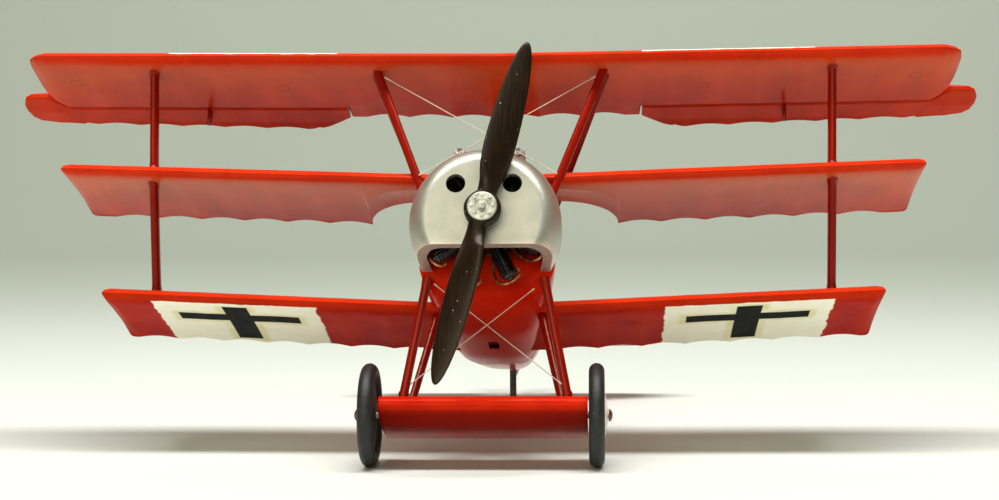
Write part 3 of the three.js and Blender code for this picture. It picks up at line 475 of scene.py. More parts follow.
def carved(thing: Thing, cutters: tuple) -> Thing:
    """Cut closed shapes out of an object.

    Args:
        thing: the object, whose mesh is replaced.
        cutters: the shapes to take away.

    Returns:
        The same object.
    """
    for number, cutter in enumerate(cutters):
        tool = mesh_object(f"cutter_{number}", cutter)
        cut = thing.modifiers.new("cut", "BOOLEAN")
        cut.object, cut.operation, cut.solver = tool, "DIFFERENCE", "EXACT"
        bake_modifiers(thing)
        bpy.data.objects.remove(tool)
    return thing


# ---------------------------------------------------------------- shader expressions


def joined(operation: str) -> Callable:
    """A method of Sock that puts it and another value through one Math operation."""
    return lambda sock, other: sock._math(operation, sock, other)


class Sock:
    """A shader socket that takes part in Python expressions, adding Math nodes as it goes."""

    def __init__(self, shader: "Shader", socket: bpy.types.NodeSocket) -> None:
        """Wrap an output socket of a shader's node."""
        self.shader = shader
        self.socket = socket

    def _math(self, operation: str, *values: "Sock | float") -> "Sock":
        """One Math node over these values."""
        return self.shader.node("ShaderNodeMath", {"operation": operation}, dict(enumerate(values)))

    __add__ = __radd__ = joined("ADD")
    __sub__ = joined("SUBTRACT")
    __mul__ = __rmul__ = joined("MULTIPLY")
    most = joined("MAXIMUM")

    def __abs__(self) -> "Sock":
        """The size of this."""
        return self._math("ABSOLUTE", self)

    def __mod__(self, step: float) -> "Sock":
        """Distance to the nearest whole multiple of a step."""
        return self._math("PINGPONG", self, step / 2)

    def rise(self, low: float, high: float) -> "Sock":
        """A smooth step from 0 at low to 1 at high, where low may be the larger."""
        settings = {"interpolation_type": "SMOOTHSTEP"}
        inputs = {"Value": self, "From Min": low, "From Max": high, "To Min": 0.0, "To Max": 1.0}
        if low > high:
            inputs.update({"From Min": high, "From Max": low, "To Min": 1.0, "To Max": 0.0})
        return self.shader.node("ShaderNodeMapRange", settings, inputs)

    def band(self, low: float, high: float, soft: float = 0.06) -> "Sock":
        """1 between low and high, with soft edges."""
        return self.rise(low - soft, low + soft) * self.rise(high + soft, high - soft)


class Shader:
    """A material being made: nodes, expressions and its surface."""

    def __init__(self, name: str) -> None:
        """Start an empty node material."""
        self.material = bpy.data.materials.new(name)
        self.material.use_nodes = True
        self.tree = self.material.node_tree
        self.tree.nodes.clear()
        self.place = self.attribute(ATTRIBUTE)
        self.x, self.y, self.z = self.split(self.place)

    def node(
        self, kind: str, settings: dict | None = None, inputs: dict | None = None, output: str | int = 0
    ) -> Sock:
        """Add a node.

        Args:
            kind: the node's type.
            settings: its properties, set first; stops holds a ramp's (position, colour) pairs.
            inputs: values or links of its sockets, by name or number.
            output: the output socket wanted.

        Returns:
            That output.
        """
        made = self.tree.nodes.new(kind)
        for key, value in (settings or {}).items():
            if key == "stops":
                ramp = made.color_ramp.elements
                while len(ramp) < len(value):
                    ramp.new(1.0)
                for element, (position, colour) in zip(ramp, value):
                    element.position, element.color = position, (*colour, 1)
            else:
                setattr(made, key, value)
        for key, value in (inputs or {}).items():
            if isinstance(value, Sock):
                self.tree.links.new(value.socket, made.inputs[key])
            elif isinstance(value, tuple) and len(value) == 3 and made.inputs[key].type == "RGBA":
                made.inputs[key].default_value = (*value, 1)
            else:
                made.inputs[key].default_value = value
        return Sock(self, made.outputs[output])

    def attribute(self, name: str) -> Sock:
        """The three numbers kept at each vertex under a name."""
        return self.node("ShaderNodeAttribute", {"attribute_name": name}, {}, "Vector")

    def split(self, vector: Sock) -> tuple[Sock, Sock, Sock]:
        """The three numbers of a vector."""
        made = self.node("ShaderNodeSeparateXYZ", {}, {0: vector})
        outputs = made.socket.node.outputs
        return tuple(Sock(self, outputs[i]) for i in range(3))

    def stretched(self, x: float, y: float, z: float) -> Sock:
        """The aircraft's coordinates, scaled along each axis."""
        return self.node("ShaderNodeVectorMath", {"operation": "MULTIPLY"}, {0: self.place, 1: (x, y, z)})

    def noise(self, scale: float, detail: float = 3, vector: Sock | None = None, rough: float = 0.55) -> Sock:
        """Cloudy noise from 0 to 1; scale is in features per millimetre."""
        return self.node("ShaderNodeTexNoise", {}, {
            "Vector": vector or self.place, "Scale": scale, "Detail": detail, "Roughness": rough,
        })

    def specks(self, scale: float, size: float) -> Sock:
        """Scattered round specks: 1 inside a Voronoi cell's middle, 0 outside."""
        far = self.node("ShaderNodeTexVoronoi", {}, {"Vector": self.place, "Scale": scale}, "Distance")
        return far.rise(size, size * 0.6)

    def mix(self, factor: Sock | float, first: Sock | Colour, second: Sock | Colour) -> Sock:
        """One colour over another."""
        return self.node("ShaderNodeMix", {"data_type": "RGBA"}, {0: factor, 6: first, 7: second}, 2)

    def surface(
        self, colour: Sock | Colour, roughness: Sock | float, metallic: float | Sock = 0.0, coat: float = 0.0,
        height: Sock | None = None, lift: float = 0.1, specular: float = 0.5, tint: Colour = (1.0, 1.0, 1.0),
    ) -> Material:
        """Close the material with a Principled surface.

        Args:
            colour, roughness, metallic: values or expressions.
            coat: the weight of a clear coat.
            height, lift: the relief from 0 to 1, and its depth in millimetres.
            specular, tint: how strongly and in what colour the paint reflects straight on.

        Returns:
            The finished material.
        """
        inputs = {
            "Base Color": colour, "Roughness": roughness, "Metallic": metallic, "Coat Weight": coat,
            "Coat Roughness": 0.15, "Specular IOR Level": specular, "Specular Tint": tint,
        }
        if height is not None:
            inputs["Normal"] = self.node(
                "ShaderNodeBump", {}, {"Strength": 1.0, "Distance": lift / 1000, "Height": height}
            )
        made = self.node("ShaderNodeBsdfPrincipled", {}, inputs)
        end = self.tree.nodes.new("ShaderNodeOutputMaterial")
        self.tree.links.new(made.socket, end.inputs["Surface"])
        return self.material


# ---------------------------------------------------------------- finishes

# RED_LIGHT and RED_DARK serve for real brush streaks and dust, and also for the painted highlights and
# painted shade in the paints below.
RED = srgb(196, 40, 16)
RED_LIGHT = srgb(222, 80, 42)
RED_DARK = srgb(112, 14, 5)
# A painted reflection of the warm floor light, mixed into the wing undersides.
FLOOR_REFLECTION_TINT = srgb(184, 112, 56)
WARM = (1.0, 0.86, 0.6)
OFF_WHITE = srgb(252, 249, 230)
YELLOWED = srgb(222, 212, 140)
SOOT = srgb(20, 21, 20)


@dataclass(frozen=True)
class RedPaint:
    """Brushed red enamel: streaks, thin places and dust, with an optional share of painted shade over the
    whole piece.
    """

    name: str
    streak: Point = (0.5, 0.12, 0.5)
    gloss: float = 0.2
    shine: float = 0.25
    # deep: the share of painted shade mixed over the whole piece.
    deep: float = 0.0

    def colours(self, shader: Shader) -> tuple[Sock, Sock, Sock]:
        """The paint's colour, roughness and height before any marking."""
        brushed = shader.noise(2.2, 4, shader.stretched(*self.streak))
        clouds = shader.noise(0.12, 3)
        pits = shader.specks(0.55, 0.13)
        colour = shader.mix(clouds.rise(0.35, 0.7), RED, srgb(178, 28, 12))
        colour = shader.mix(brushed.rise(0.55, 0.85) * 0.2, colour, RED_LIGHT)
        colour = shader.mix(brushed.rise(0.42, 0.2) * 0.3, colour, RED_DARK)
        colour = shader.mix(pits * shader.noise(0.3).rise(0.5, 0.7) * 0.35, colour, RED_LIGHT)
        # Painted shade: deep darkens the whole piece towards RED_DARK, a shaded copy of the red for parts
        # that look darker, such as the thin struts and the lower wing.
        colour = shader.mix(self.deep, colour, RED_DARK)
        roughness = brushed * 0.14 + (self.gloss - 0.05)
        return colour, roughness, brushed

    def build(self) -> Material:
        """Make the material."""
        shader = Shader(self.name)
        colour, roughness, height = self.colours(shader)
        return shader.surface(colour, roughness, height=height, lift=0.05, specular=self.shine, tint=WARM)


class Marking(Enum):
    """Where a wing carries its white panels."""

    NONE = "none"
    ABOVE = "above"
    BELOW = "below"


@dataclass(frozen=True)
class WingPaint(RedPaint):
    """Red enamel over a ribbed wing, with a plain black cross on a white panel on some sides, and painted
    light: lighter ribs with shaded bays between, a lighter leading edge, a warm painted reflection on the
    undersides, and painted shade in the hinge gap and round the pin marks.
    """

    marking: Marking = Marking.NONE
    rib_offset: float = 0.0
    panel: tuple[float, float] = (26.8, 52.3)
    # hinge: paint shade into the aileron's hinge gap.
    hinge: bool = False
    # How strongly the undersides take the painted reflection of the floor.
    floor_reflection_share: float = 0.0
    pins: tuple[tuple[float, float], ...] = ()

    def build(self) -> Material:
        """Make the material."""
        shader = Shader(self.name)
        colour, roughness, height = self.colours(shader)
        span, aft, side = shader.split(shader.attribute(WING_ATTRIBUTE))
        span = abs(span)
        rib = (span - self.rib_offset + 70) % 7.0
        # Painted highlight along each rib and painted shade in the bays between ribs, where the skin sags;
        # the ridge also gives a slight relief.
        rib_ridge_and_highlight = rib.rise(1.5, 0.0) * aft.rise(2.0, 6.0)
        colour = shader.mix(rib_ridge_and_highlight * 0.07, colour, RED_LIGHT)
        colour = shader.mix(rib.rise(1.2, 3.2) * aft.rise(2.5, 8) * 0.12, colour, RED_DARK)
        height = height + rib_ridge_and_highlight * 0.4
        # Painted reflection: the undersides take a warm tint of the floor's light, strongest near the leading
        # edge.
        under = side.rise(0.2, -0.2) * aft.rise(0.6, 2.4)
        colour = shader.mix(under * (aft.rise(20, 3) * 1.2 + 0.4) * self.floor_reflection_share, colour, FLOOR_REFLECTION_TINT)
        # Painted highlight: the leading edge is lighter, where the overhead light falls on it.
        colour = shader.mix(aft.rise(2.6, 0.9) * 0.2, colour, RED_LIGHT)
        if self.hinge:
            # Painted shade in the thin gap of the aileron's hinge and at the aileron's inner end.
            hinge_gap_shade = aft.band(16.98, 17.42, 0.08) * span.band(23.4, 70.0, 0.2)
            inner_end_shade = abs(span - 23.5).rise(0.28, 0.16) * aft.rise(16.8, 17.0)
            colour = shader.mix(hinge_gap_shade.most(inner_end_shade) * 0.85, colour, srgb(58, 12, 6))
        for pin_span, pin_aft in self.pins:
            # Each pin mark gets a slight raised ring, and painted shade along that ring.
            out = (span - pin_span) * (span - pin_span) + (aft - pin_aft) * (aft - pin_aft)
            ring = out.band(0.75, 1.1, 0.15) * side.rise(0.0, -0.5)
            colour = shader.mix(ring * 0.35, colour, RED_DARK)
            height = height + ring
        edge = shader.noise(0.45, 3) * 1.3
        if self.marking is not Marking.NONE:
            facing = side.rise(0.2, 0.4) if self.marking is Marking.ABOVE else side.rise(-0.2, -0.4)
            low, high = self.panel
            ragged = span + edge
            front = 0.5 if self.marking is Marking.ABOVE else 1.5
            patch = ragged.band(low + 0.6, high + 0.6, 0.12) * (aft + edge * 0.5).rise(front, front + 0.25)
            patch = patch * facing
            centre = (low + high) / 2
            bar = abs(span - centre)
            upright = bar.rise(2.05, 1.85) * aft.band(2.6, 18.8, 0.1)
            level = bar.rise(9.6, 9.4) * aft.band(6.5, 9.8, 0.1)
            outline = (bar.rise(3.5, 2.6) * aft.band(2.0, 19.6, 0.5)).most(
                bar.rise(11.0, 10.0) * aft.band(5.4, 10.9, 0.5))
            stain = shader.noise(0.35, 4).rise(0.35, 0.75)
            white = shader.mix(stain * 0.3, OFF_WHITE, srgb(234, 228, 196))
            white = shader.mix(outline * (stain * 0.4 + 0.35), white, YELLOWED)
            black = shader.mix(shader.noise(0.9, 4).rise(0.45, 0.8) * 0.4, SOOT, srgb(52, 53, 50))
            white = shader.mix(upright.most(level), white, black)
            colour = shader.mix(patch, colour, white)
            roughness = roughness + patch * 0.12
            height = height + patch * 0.8
        return shader.surface(colour, roughness, height=height, lift=0.045, specular=self.shine, tint=WARM)


@dataclass(frozen=True)
class HullPaint(RedPaint):
    """Red enamel with painted shade: near-black inside the stand slot and where the cowling covers the
    firewall.
    """

    def build(self) -> Material:
        """Make the material."""
        shader = Shader(self.name)
        colour, roughness, height = self.colours(shader)
        # Painted shade: near-black on the firewall where the cowling covers it, and inside the stand slot.
        cowl_shade = (shader.z + shader.noise(0.4) * 1.2).rise(-5.4, -2.6) * shader.y.rise(9.72, 9.6)
        slot = abs(shader.x).rise(0.83, 0.8) * shader.y.band(29.15, 33.75, 0.03) * shader.z.rise(-12.3, -12.1)
        colour = shader.mix(cowl_shade.most(slot), colour, srgb(16, 10, 9))
        return shader.surface(colour, roughness, height=height, lift=0.05, specular=self.shine, tint=WARM)


@dataclass(frozen=True)
class AxleWingPaint(RedPaint):
    """Red enamel with painted shade: darker on the flat underside of the axle's wing."""

    def build(self) -> Material:
        """Make the material."""
        shader = Shader(self.name)
        colour, roughness, height = self.colours(shader)
        above_chord = shader.z + shader.y * math.tan(AXLE_WING_TILT) + 25.4
        # Painted shade: the flat underside below the chord line is darkened towards RED_DARK.
        colour = shader.mix(above_chord.rise(-0.9, -1.3) * 0.75, colour, RED_DARK)
        return shader.surface(colour, roughness, height=height, lift=0.05, specular=self.shine, tint=WARM)


@dataclass(frozen=True)
class SilverPaint:
    """Silver enamel with a fine mottled grain, and a painted highlight on the lip of the mouth."""

    name: str

    def build(self) -> Material:
        """Make the material."""
        shader = Shader(self.name)
        clouds = shader.noise(0.28, 4)
        grain = shader.noise(5.0, 3)
        colour = shader.mix(clouds.rise(0.25, 0.75), srgb(172, 173, 158), srgb(190, 190, 174))
        colour = shader.mix(grain.rise(0.35, 0.8) * 0.3, colour, srgb(146, 146, 134))
        # Painted highlight: the cowling's lip round the mouth is paler.
        lip_highlight = abs(shader.z + 5.9).rise(1.6, 0.3)
        colour = shader.mix(lip_highlight * 0.5, colour, srgb(226, 214, 200))
        roughness = grain * 0.2 + 0.3
        return shader.surface(colour, roughness, 0.8, height=grain, lift=0.03)


@dataclass(frozen=True)
class DarkWood:
    """Dark varnished wood with a few dusty specks and faint laminations."""

    name: str

    def build(self) -> Material:
        """Make the material."""
        shader = Shader(self.name)
        grain = shader.noise(1.6, 4, shader.stretched(1.8, 1.8, 0.16))
        specks = shader.specks(0.9, 0.10) * shader.noise(0.35).rise(0.45, 0.6)
        scratches = shader.noise(3.0, 3, shader.stretched(2.4, 1.0, 0.35)).rise(0.66, 0.8)
        colour = shader.mix(grain.rise(0.35, 0.75), srgb(23, 17, 8), srgb(37, 26, 13))
        colour = shader.mix(scratches * 0.18, colour, srgb(96, 70, 44))
        colour = shader.mix(specks, colour, srgb(186, 176, 150))
        roughness = 0.3 + grain * 0.14 + specks * 0.3
        return shader.surface(
            colour, roughness, specular=0.3, tint=(1.0, 0.85, 0.65), height=grain, lift=0.02)


@dataclass(frozen=True)
class Metal:
    """Bare or painted metal: two tones, a grain and some dark in the low places."""

    name: str
    light: Colour
    dark: Colour
    metallic: float = 0.8
    roughness: float = 0.35
    scale: float = 1.4

    def build(self) -> Material:
        """Make the material."""
        shader = Shader(self.name)
        cloud = shader.noise(self.scale, 4)
        colour = shader.mix(cloud.rise(0.38, 0.62), self.dark, self.light)
        roughness = self.roughness + cloud * 0.15
        return shader.surface(colour, roughness, self.metallic, height=cloud, lift=0.03)


@dataclass(frozen=True)
class EngineBlack:
    """Black paint, drybrushed with silver towards the cylinder heads."""

    name: str

    def build(self) -> Material:
        """Make the material."""
        shader = Shader(self.name)
        up = shader.z - THRUST_Z
        out = (shader.x * shader.x + up * up).rise(30, 90)
        brushed = shader.noise(4.5, 3).rise(0.56, 0.74)
        colour = shader.mix(brushed * out * 0.5, srgb(12, 12, 13), srgb(150, 152, 150))
        roughness = shader.noise(2.0) * 0.2 + 0.2
        return shader.surface(colour, roughness, brushed * out * 0.7, height=shader.noise(3.0), lift=0.04)


@dataclass(frozen=True)
class Rubber:
    """Semi-matt black tyres, dusty on the tread."""

    name: str

    def build(self) -> Material:
        """Make the material."""
        shader = Shader(self.name)
        dust = shader.noise(1.3, 5)
        colour = shader.mix(dust.rise(0.45, 0.8) * 0.4, srgb(18, 19, 16), srgb(52, 54, 48))
        colour = shader.mix(shader.specks(1.1, 0.1) * 0.5, colour, srgb(140, 142, 138))
        return shader.surface(colour, 0.45 + dust * 0.2, height=dust, lift=0.04)


@dataclass(frozen=True)
class Plain:
    """A painted or natural finish in two tones, with a grain of its own direction."""

    name: str
    first: Colour
    second: Colour
    roughness: float = 0.55
    grain: Point = (1.0, 1.0, 1.0)
    scale: float = 1.5
    lift: float = 0.04
    coat: float = 0.0

    def build(self) -> Material:
        """Make the material."""
        shader = Shader(self.name)
        cloud = shader.noise(self.scale, 4, shader.stretched(*self.grain))
        colour = shader.mix(cloud.rise(0.35, 0.68), self.first, self.second)
        roughness = self.roughness + cloud * 0.12
        return shader.surface(colour, roughness, coat=self.coat, height=cloud, lift=self.lift)


@dataclass(frozen=True)
class FloorPaper:
    """The seamless pale floor, which turns greyer as it runs back and up: a painted falloff of the soft
    light.
    """

    name: str

    def build(self) -> Material:
        """Make the material."""
        shader = Shader(self.name)
        place = shader.node("ShaderNodeTexCoord", {}, {}, "Object")
        _, back, up = shader.split(place)
        near, far = srgb(204, 208, 200), srgb(196, 206, 192)
        # Painted falloff of the light: the floor's colour shifts as it runs back and up the backdrop.
        colour = shader.mix(back.rise(0.03, 0.6), near, far)
        colour = shader.mix(up.rise(0.02, 0.7), colour, srgb(206, 214, 198))
        grain = shader.noise(40.0, 2, place)
        return shader.surface(shader.mix(grain * 0.04, colour, far), 0.75, specular=0.15)


# ---------------------------------------------------------------- wings


def half_thickness(u: Array) -> Array:
    """A symmetric section's half thickness at u: 5 t (0.2969 root u - 0.126 u - 0.3516 u2 + ...)."""
    v = np.clip(u, 0, 1)
    return 0.65 * (0.2969 * np.sqrt(v) - 0.126 * v - 0.3516 * v**2 + 0.2843 * v**3 - 0.1015 * v**4)


def camber_line(u: Array, camber: float = 0.045, peak: float = 0.4) -> Array:
    """The middle line's height: two parabolas that meet at the peak of the camber.

    Args:
        u: the share of the chord from the front.
        camber: the peak's height as a share of the chord.
        peak: where it is.

    Returns:
        The height as a share of the chord.
    """
    ahead = camber / peak**2 * (2 * peak * u - u**2)
    behind = camber / (1 - peak) ** 2 * (1 - 2 * peak + 2 * peak * u - u**2)
    return np.where(u < peak, ahead, behind)


@dataclass
class WingPlan:
    """A wing's place and outline: tables of front, rear and thickness along the half span."""

    le_y: float
    le_z: float
    incidence: float
    dihedral: float
    chord: float
    rear: tuple[tuple[float, float], ...]
    front: tuple[tuple[float, float], ...] = ((0, 0), (1, 0))
    scale: tuple[tuple[float, float], ...] = ((0, 1), (1, 1))
    scallop_from: float = 0.0
    scallop_to: float = 1e9
    scallop_offset: float = 0.0
    blunt_from: float = 1e9
    notch_to: float = 0.0
    nose: float = 0.0
    edge: float = 0.13
    edge_length: float = 0.3
    wedge: float = 0.17
    rib_pitch: float = 7.0
    scallop: float = 0.8
    sag: float = 0.045
    horn_from: float = 69.5
    horn_half: float = 0.56

    def at(self, x: Array, s: Array, h: Array) -> Array:
        """The point s aft of the leading edge and h above the chord line, at x along the span."""
        angle = math.radians(self.incidence)
        rise = np.abs(x) * math.tan(math.radians(self.dihedral))
        y = self.le_y + s * math.cos(angle) + h * math.sin(angle)
        z = self.le_z - s * math.sin(angle) + h * math.cos(angle) + rise
        return np.stack([np.broadcast_to(x, y.shape), y, z], axis=-1)

    def middle(self, s: Array) -> Array:
        """The height of the section's middle line."""
        return camber_line(s / self.chord) * self.chord

    def grid(self, x: Array, steps: int = 36) -> tuple[Array, Array]:
        """The wing's rings: over the top from rear to front, and back underneath.

        The half thickness is the section's, at least the edge's, and at most a wedge towards the
        rear, and the skin sags a little between ribs.

        Args:
            x: the places along the span.
            steps: the points on each side of a ring.

        Returns:
            The points, and for each point (x, distance aft, +1 above or -1 below).
        """
        x = np.asarray(x, float)
        away = np.abs(x)
        front = np.interp(away, *np.array(self.front, float).T)[:, None]
        rear = np.interp(away, *np.array(self.rear, float).T)
        bow = np.abs(np.sin(np.pi * (away - self.scallop_offset) / self.rib_pitch))
        scalloped = (away >= self.scallop_from) & (away <= self.scallop_to)
        rear = (rear - np.where(scalloped, self.scallop * bow, 0))[:, None]
        size = np.interp(away, *np.array(self.scale, float).T)[:, None]
        step = (1 - np.cos(np.linspace(0, np.pi, steps))) / 2
        step = 0.35 * np.linspace(0, 1, steps) + 0.65 * step
        s = front + (rear - front) * step
        past = s - front
        base = s if self.nose else past
        half = half_thickness(base / self.chord) * self.chord * size
        half = np.maximum(half, self.edge * np.minimum(1, np.sqrt(past / self.edge_length)))
        wedge = np.where(away[:, None] >= self.blunt_from, 9.0, self.edge + (rear - s) * self.wedge)
        half = np.minimum(half, wedge)
        if self.nose:
            round_nose = np.sqrt(np.maximum(0, past * (2 * self.nose - past)))
            half = np.where(past < self.nose, np.minimum(half, round_nose), half)
            horn = self.horn_half * np.maximum(size, 0.4)
            half = np.minimum(half, np.where(away[:, None] > self.horn_from, horn, 9))
        off_rib = bow[:, None] * np.minimum(1, past / 5) * np.minimum(1, half / 0.5)
        half = half - self.sag * off_rib
        half[:, 0] = 0
        notched = away[:, None] < self.notch_to
        sink = np.where(notched, self.middle(rear) / rear**2 * s**2, 0)
        line = self.middle(s) - sink
        above = self.at(x[:, None], s, line + half)[:, ::-1]
        below = self.at(x[:, None], s, line - half)[:, 1:]
        sides = np.concatenate([np.ones(steps), -np.ones(steps - 1)])
        where = np.stack([
            np.repeat(x[:, None], 2 * steps - 1, 1),
            np.concatenate([s[:, ::-1], s[:, 1:]], 1),
            np.repeat(sides[None], len(x), 0),
        ], axis=-1)
        return np.concatenate([above, below], 1), where


TOP_PLAN = WingPlan(
    7.55, 27.11, 6.0, 0.66, 23,
    rear=((0, 20.9), (23.4, 20.7), (23.47, 17.1), (69.4, 17.1), (70.7, 15.2), (71.7, 12.4), (72.2, 9.4)),
    front=((0, 0), (69.2, 0), (69.4, 0.1), (70.7, 0.9), (71.7, 2.2), (72.2, 4.6)),
    scale=((0, 1), (69, 1), (70.7, 0.85), (71.7, 0.65), (72.2, 0.3)),
    scallop_to=21, blunt_from=23.4,
)
MID_PLAN = WingPlan(
    10.17, 8.1, 2.66, 2.05, 20.6,
    rear=tuple((x, 20.6 - 10.8 * math.sqrt(max(0.0, 1 - max(0.0, (x - 9.5) / 10.3) ** 2)))
               for x in (0, 9.5, 11, 12.5, 14, 15.5, 17, 18, 18.8, 19.4, 19.7, 19.8))
    + ((64.5, 20.5), (65.3, 20.4), (65.66, 19.9)),
    front=((0, 0), (64.5, 0), (65.3, 0.1), (65.66, 0.5)),
    scale=((0, 1), (64.5, 1), (65.3, 0.85), (65.66, 0.5)),
    scallop_from=19.8, scallop_to=61.8, scallop_offset=5.8, notch_to=19.85,
)
LOW_PLAN = WingPlan(
    17.0, -10.2, 4.7, 2.67, 20.6,
    rear=((0, 20.3), (7.5, 20.3), (9.5, 20.6), (58.65, 20.5), (59.45, 20.4), (59.75, 19.9)),
    front=((0, 0), (58.65, 0), (59.45, 0.1), (59.75, 0.5)),
    scale=((0, 1), (58.6, 1), (59.45, 0.85), (59.75, 0.5)),
    scallop_from=9.5, scallop_to=58.4, scallop_offset=9.5,
)
AILERON_PLAN = WingPlan(
    7.55, 27.11, 6.0, 0.66, 23,
    rear=((23.55, 20.8), (25.5, 22.2), (27.5, 23.5), (30, 24.3), (66, 23.0), (68.6, 22.9), (70, 22.7),
          (72.3, 22.6), (75.2, 22.0), (76.3, 21.0), (76.8, 19.4)),
    front=((23.55, 17.25), (70, 17.25), (72.3, 14.6), (75.2, 14.9), (76.3, 15.8), (76.8, 17.2)),
    scale=((23, 1), (72, 1), (75, 0.9), (76.3, 0.7), (76.8, 0.45)),
    scallop_from=29, scallop_to=68, scallop_offset=3, nose=0.65, scallop=0.48,
)


def spans(end: float, start: float = 0.0, extra: tuple[float, ...] = (), pitch: float = 0.5) -> Array:
    """Places along a half span, evenly spaced, with extra ones where the outline turns."""
    even = np.arange(start, end - 0.2, pitch)
    return np.unique(np.concatenate([even, np.asarray(extra, float), [end]]))


class Wings:
    """The three wings, the two ailerons and their levers."""

    def __init__(self, paints: dict[str, Material], steel: Material) -> None:
        """Keep the paints by piece."""
        self.paints = paints
        self.steel = steel

    def _wing(self, piece: Piece, plan: WingPlan, half: Array) -> Thing:
        """Loft a wing, mirrored from its port half where that begins at the middle.

        Args:
            piece, plan: what it is, and its outline.
            half: the places along its half span.

        Returns:
            The finished object, with its wing coordinates stored.
        """
        both = np.concatenate([-half[:0:-1], half]) if half[0] == 0 else half
        rings, where = plan.grid(both)
        points, faces = loft(rings)
        thing = piece.from_shape((points, faces))
        values = np.concatenate([where.reshape(-1, 3), where[0, :1], where[-1, :1]])
        store(thing, WING_ATTRIBUTE, values)
        return thing

    def build(self) -> None:
        """Make every piece."""
        rows = (
            ("top", TOP_PLAN, spans(72.2, extra=(23.35, 23.5, 69.4, 70.0, 70.7, 71.2, 71.7, 72.0))),
            ("mid", MID_PLAN, spans(65.66, extra=(9.5, 19.4, 19.7, 19.8, 64.5, 65.3))),
            ("lower", LOW_PLAN, spans(59.75, extra=(58.65, 59.45))),
        )
        for name, plan, half in rows:
            piece = Piece(
                f"{name}_wing_skin", Body.AIRFRAME, (f"{name}_wing",), "red_wing", self.paints[name])
            self._wing(piece, plan, half)
        for name, side in SIDES:
            body = Body(f"aileron_{name}")
            half = spans(76.8, 23.7, (72.3, 75.2, 75.8, 76.3, 76.6)) * side
            piece = Piece(
                f"aileron_{name}_skin", body, (f"aileron_{name}",), "red_wing", self.paints["aileron"])
            self._wing(piece, AILERON_PLAN, half)
            Piece(f"aileron_{name}_horn", body, (f"aileron_lever_{name}",), "red_wing",
                  self.paints["small"]).from_node(f"aileron_lever_{name}", 0.08)
            Piece(f"aileron_{name}_hinge", Body.AIRFRAME, (f"aileron_hinge_rod_{name}",), "hub_steel",
                  self.steel).from_node(f"aileron_hinge_rod_{name}")


# ---------------------------------------------------------------- fuselage


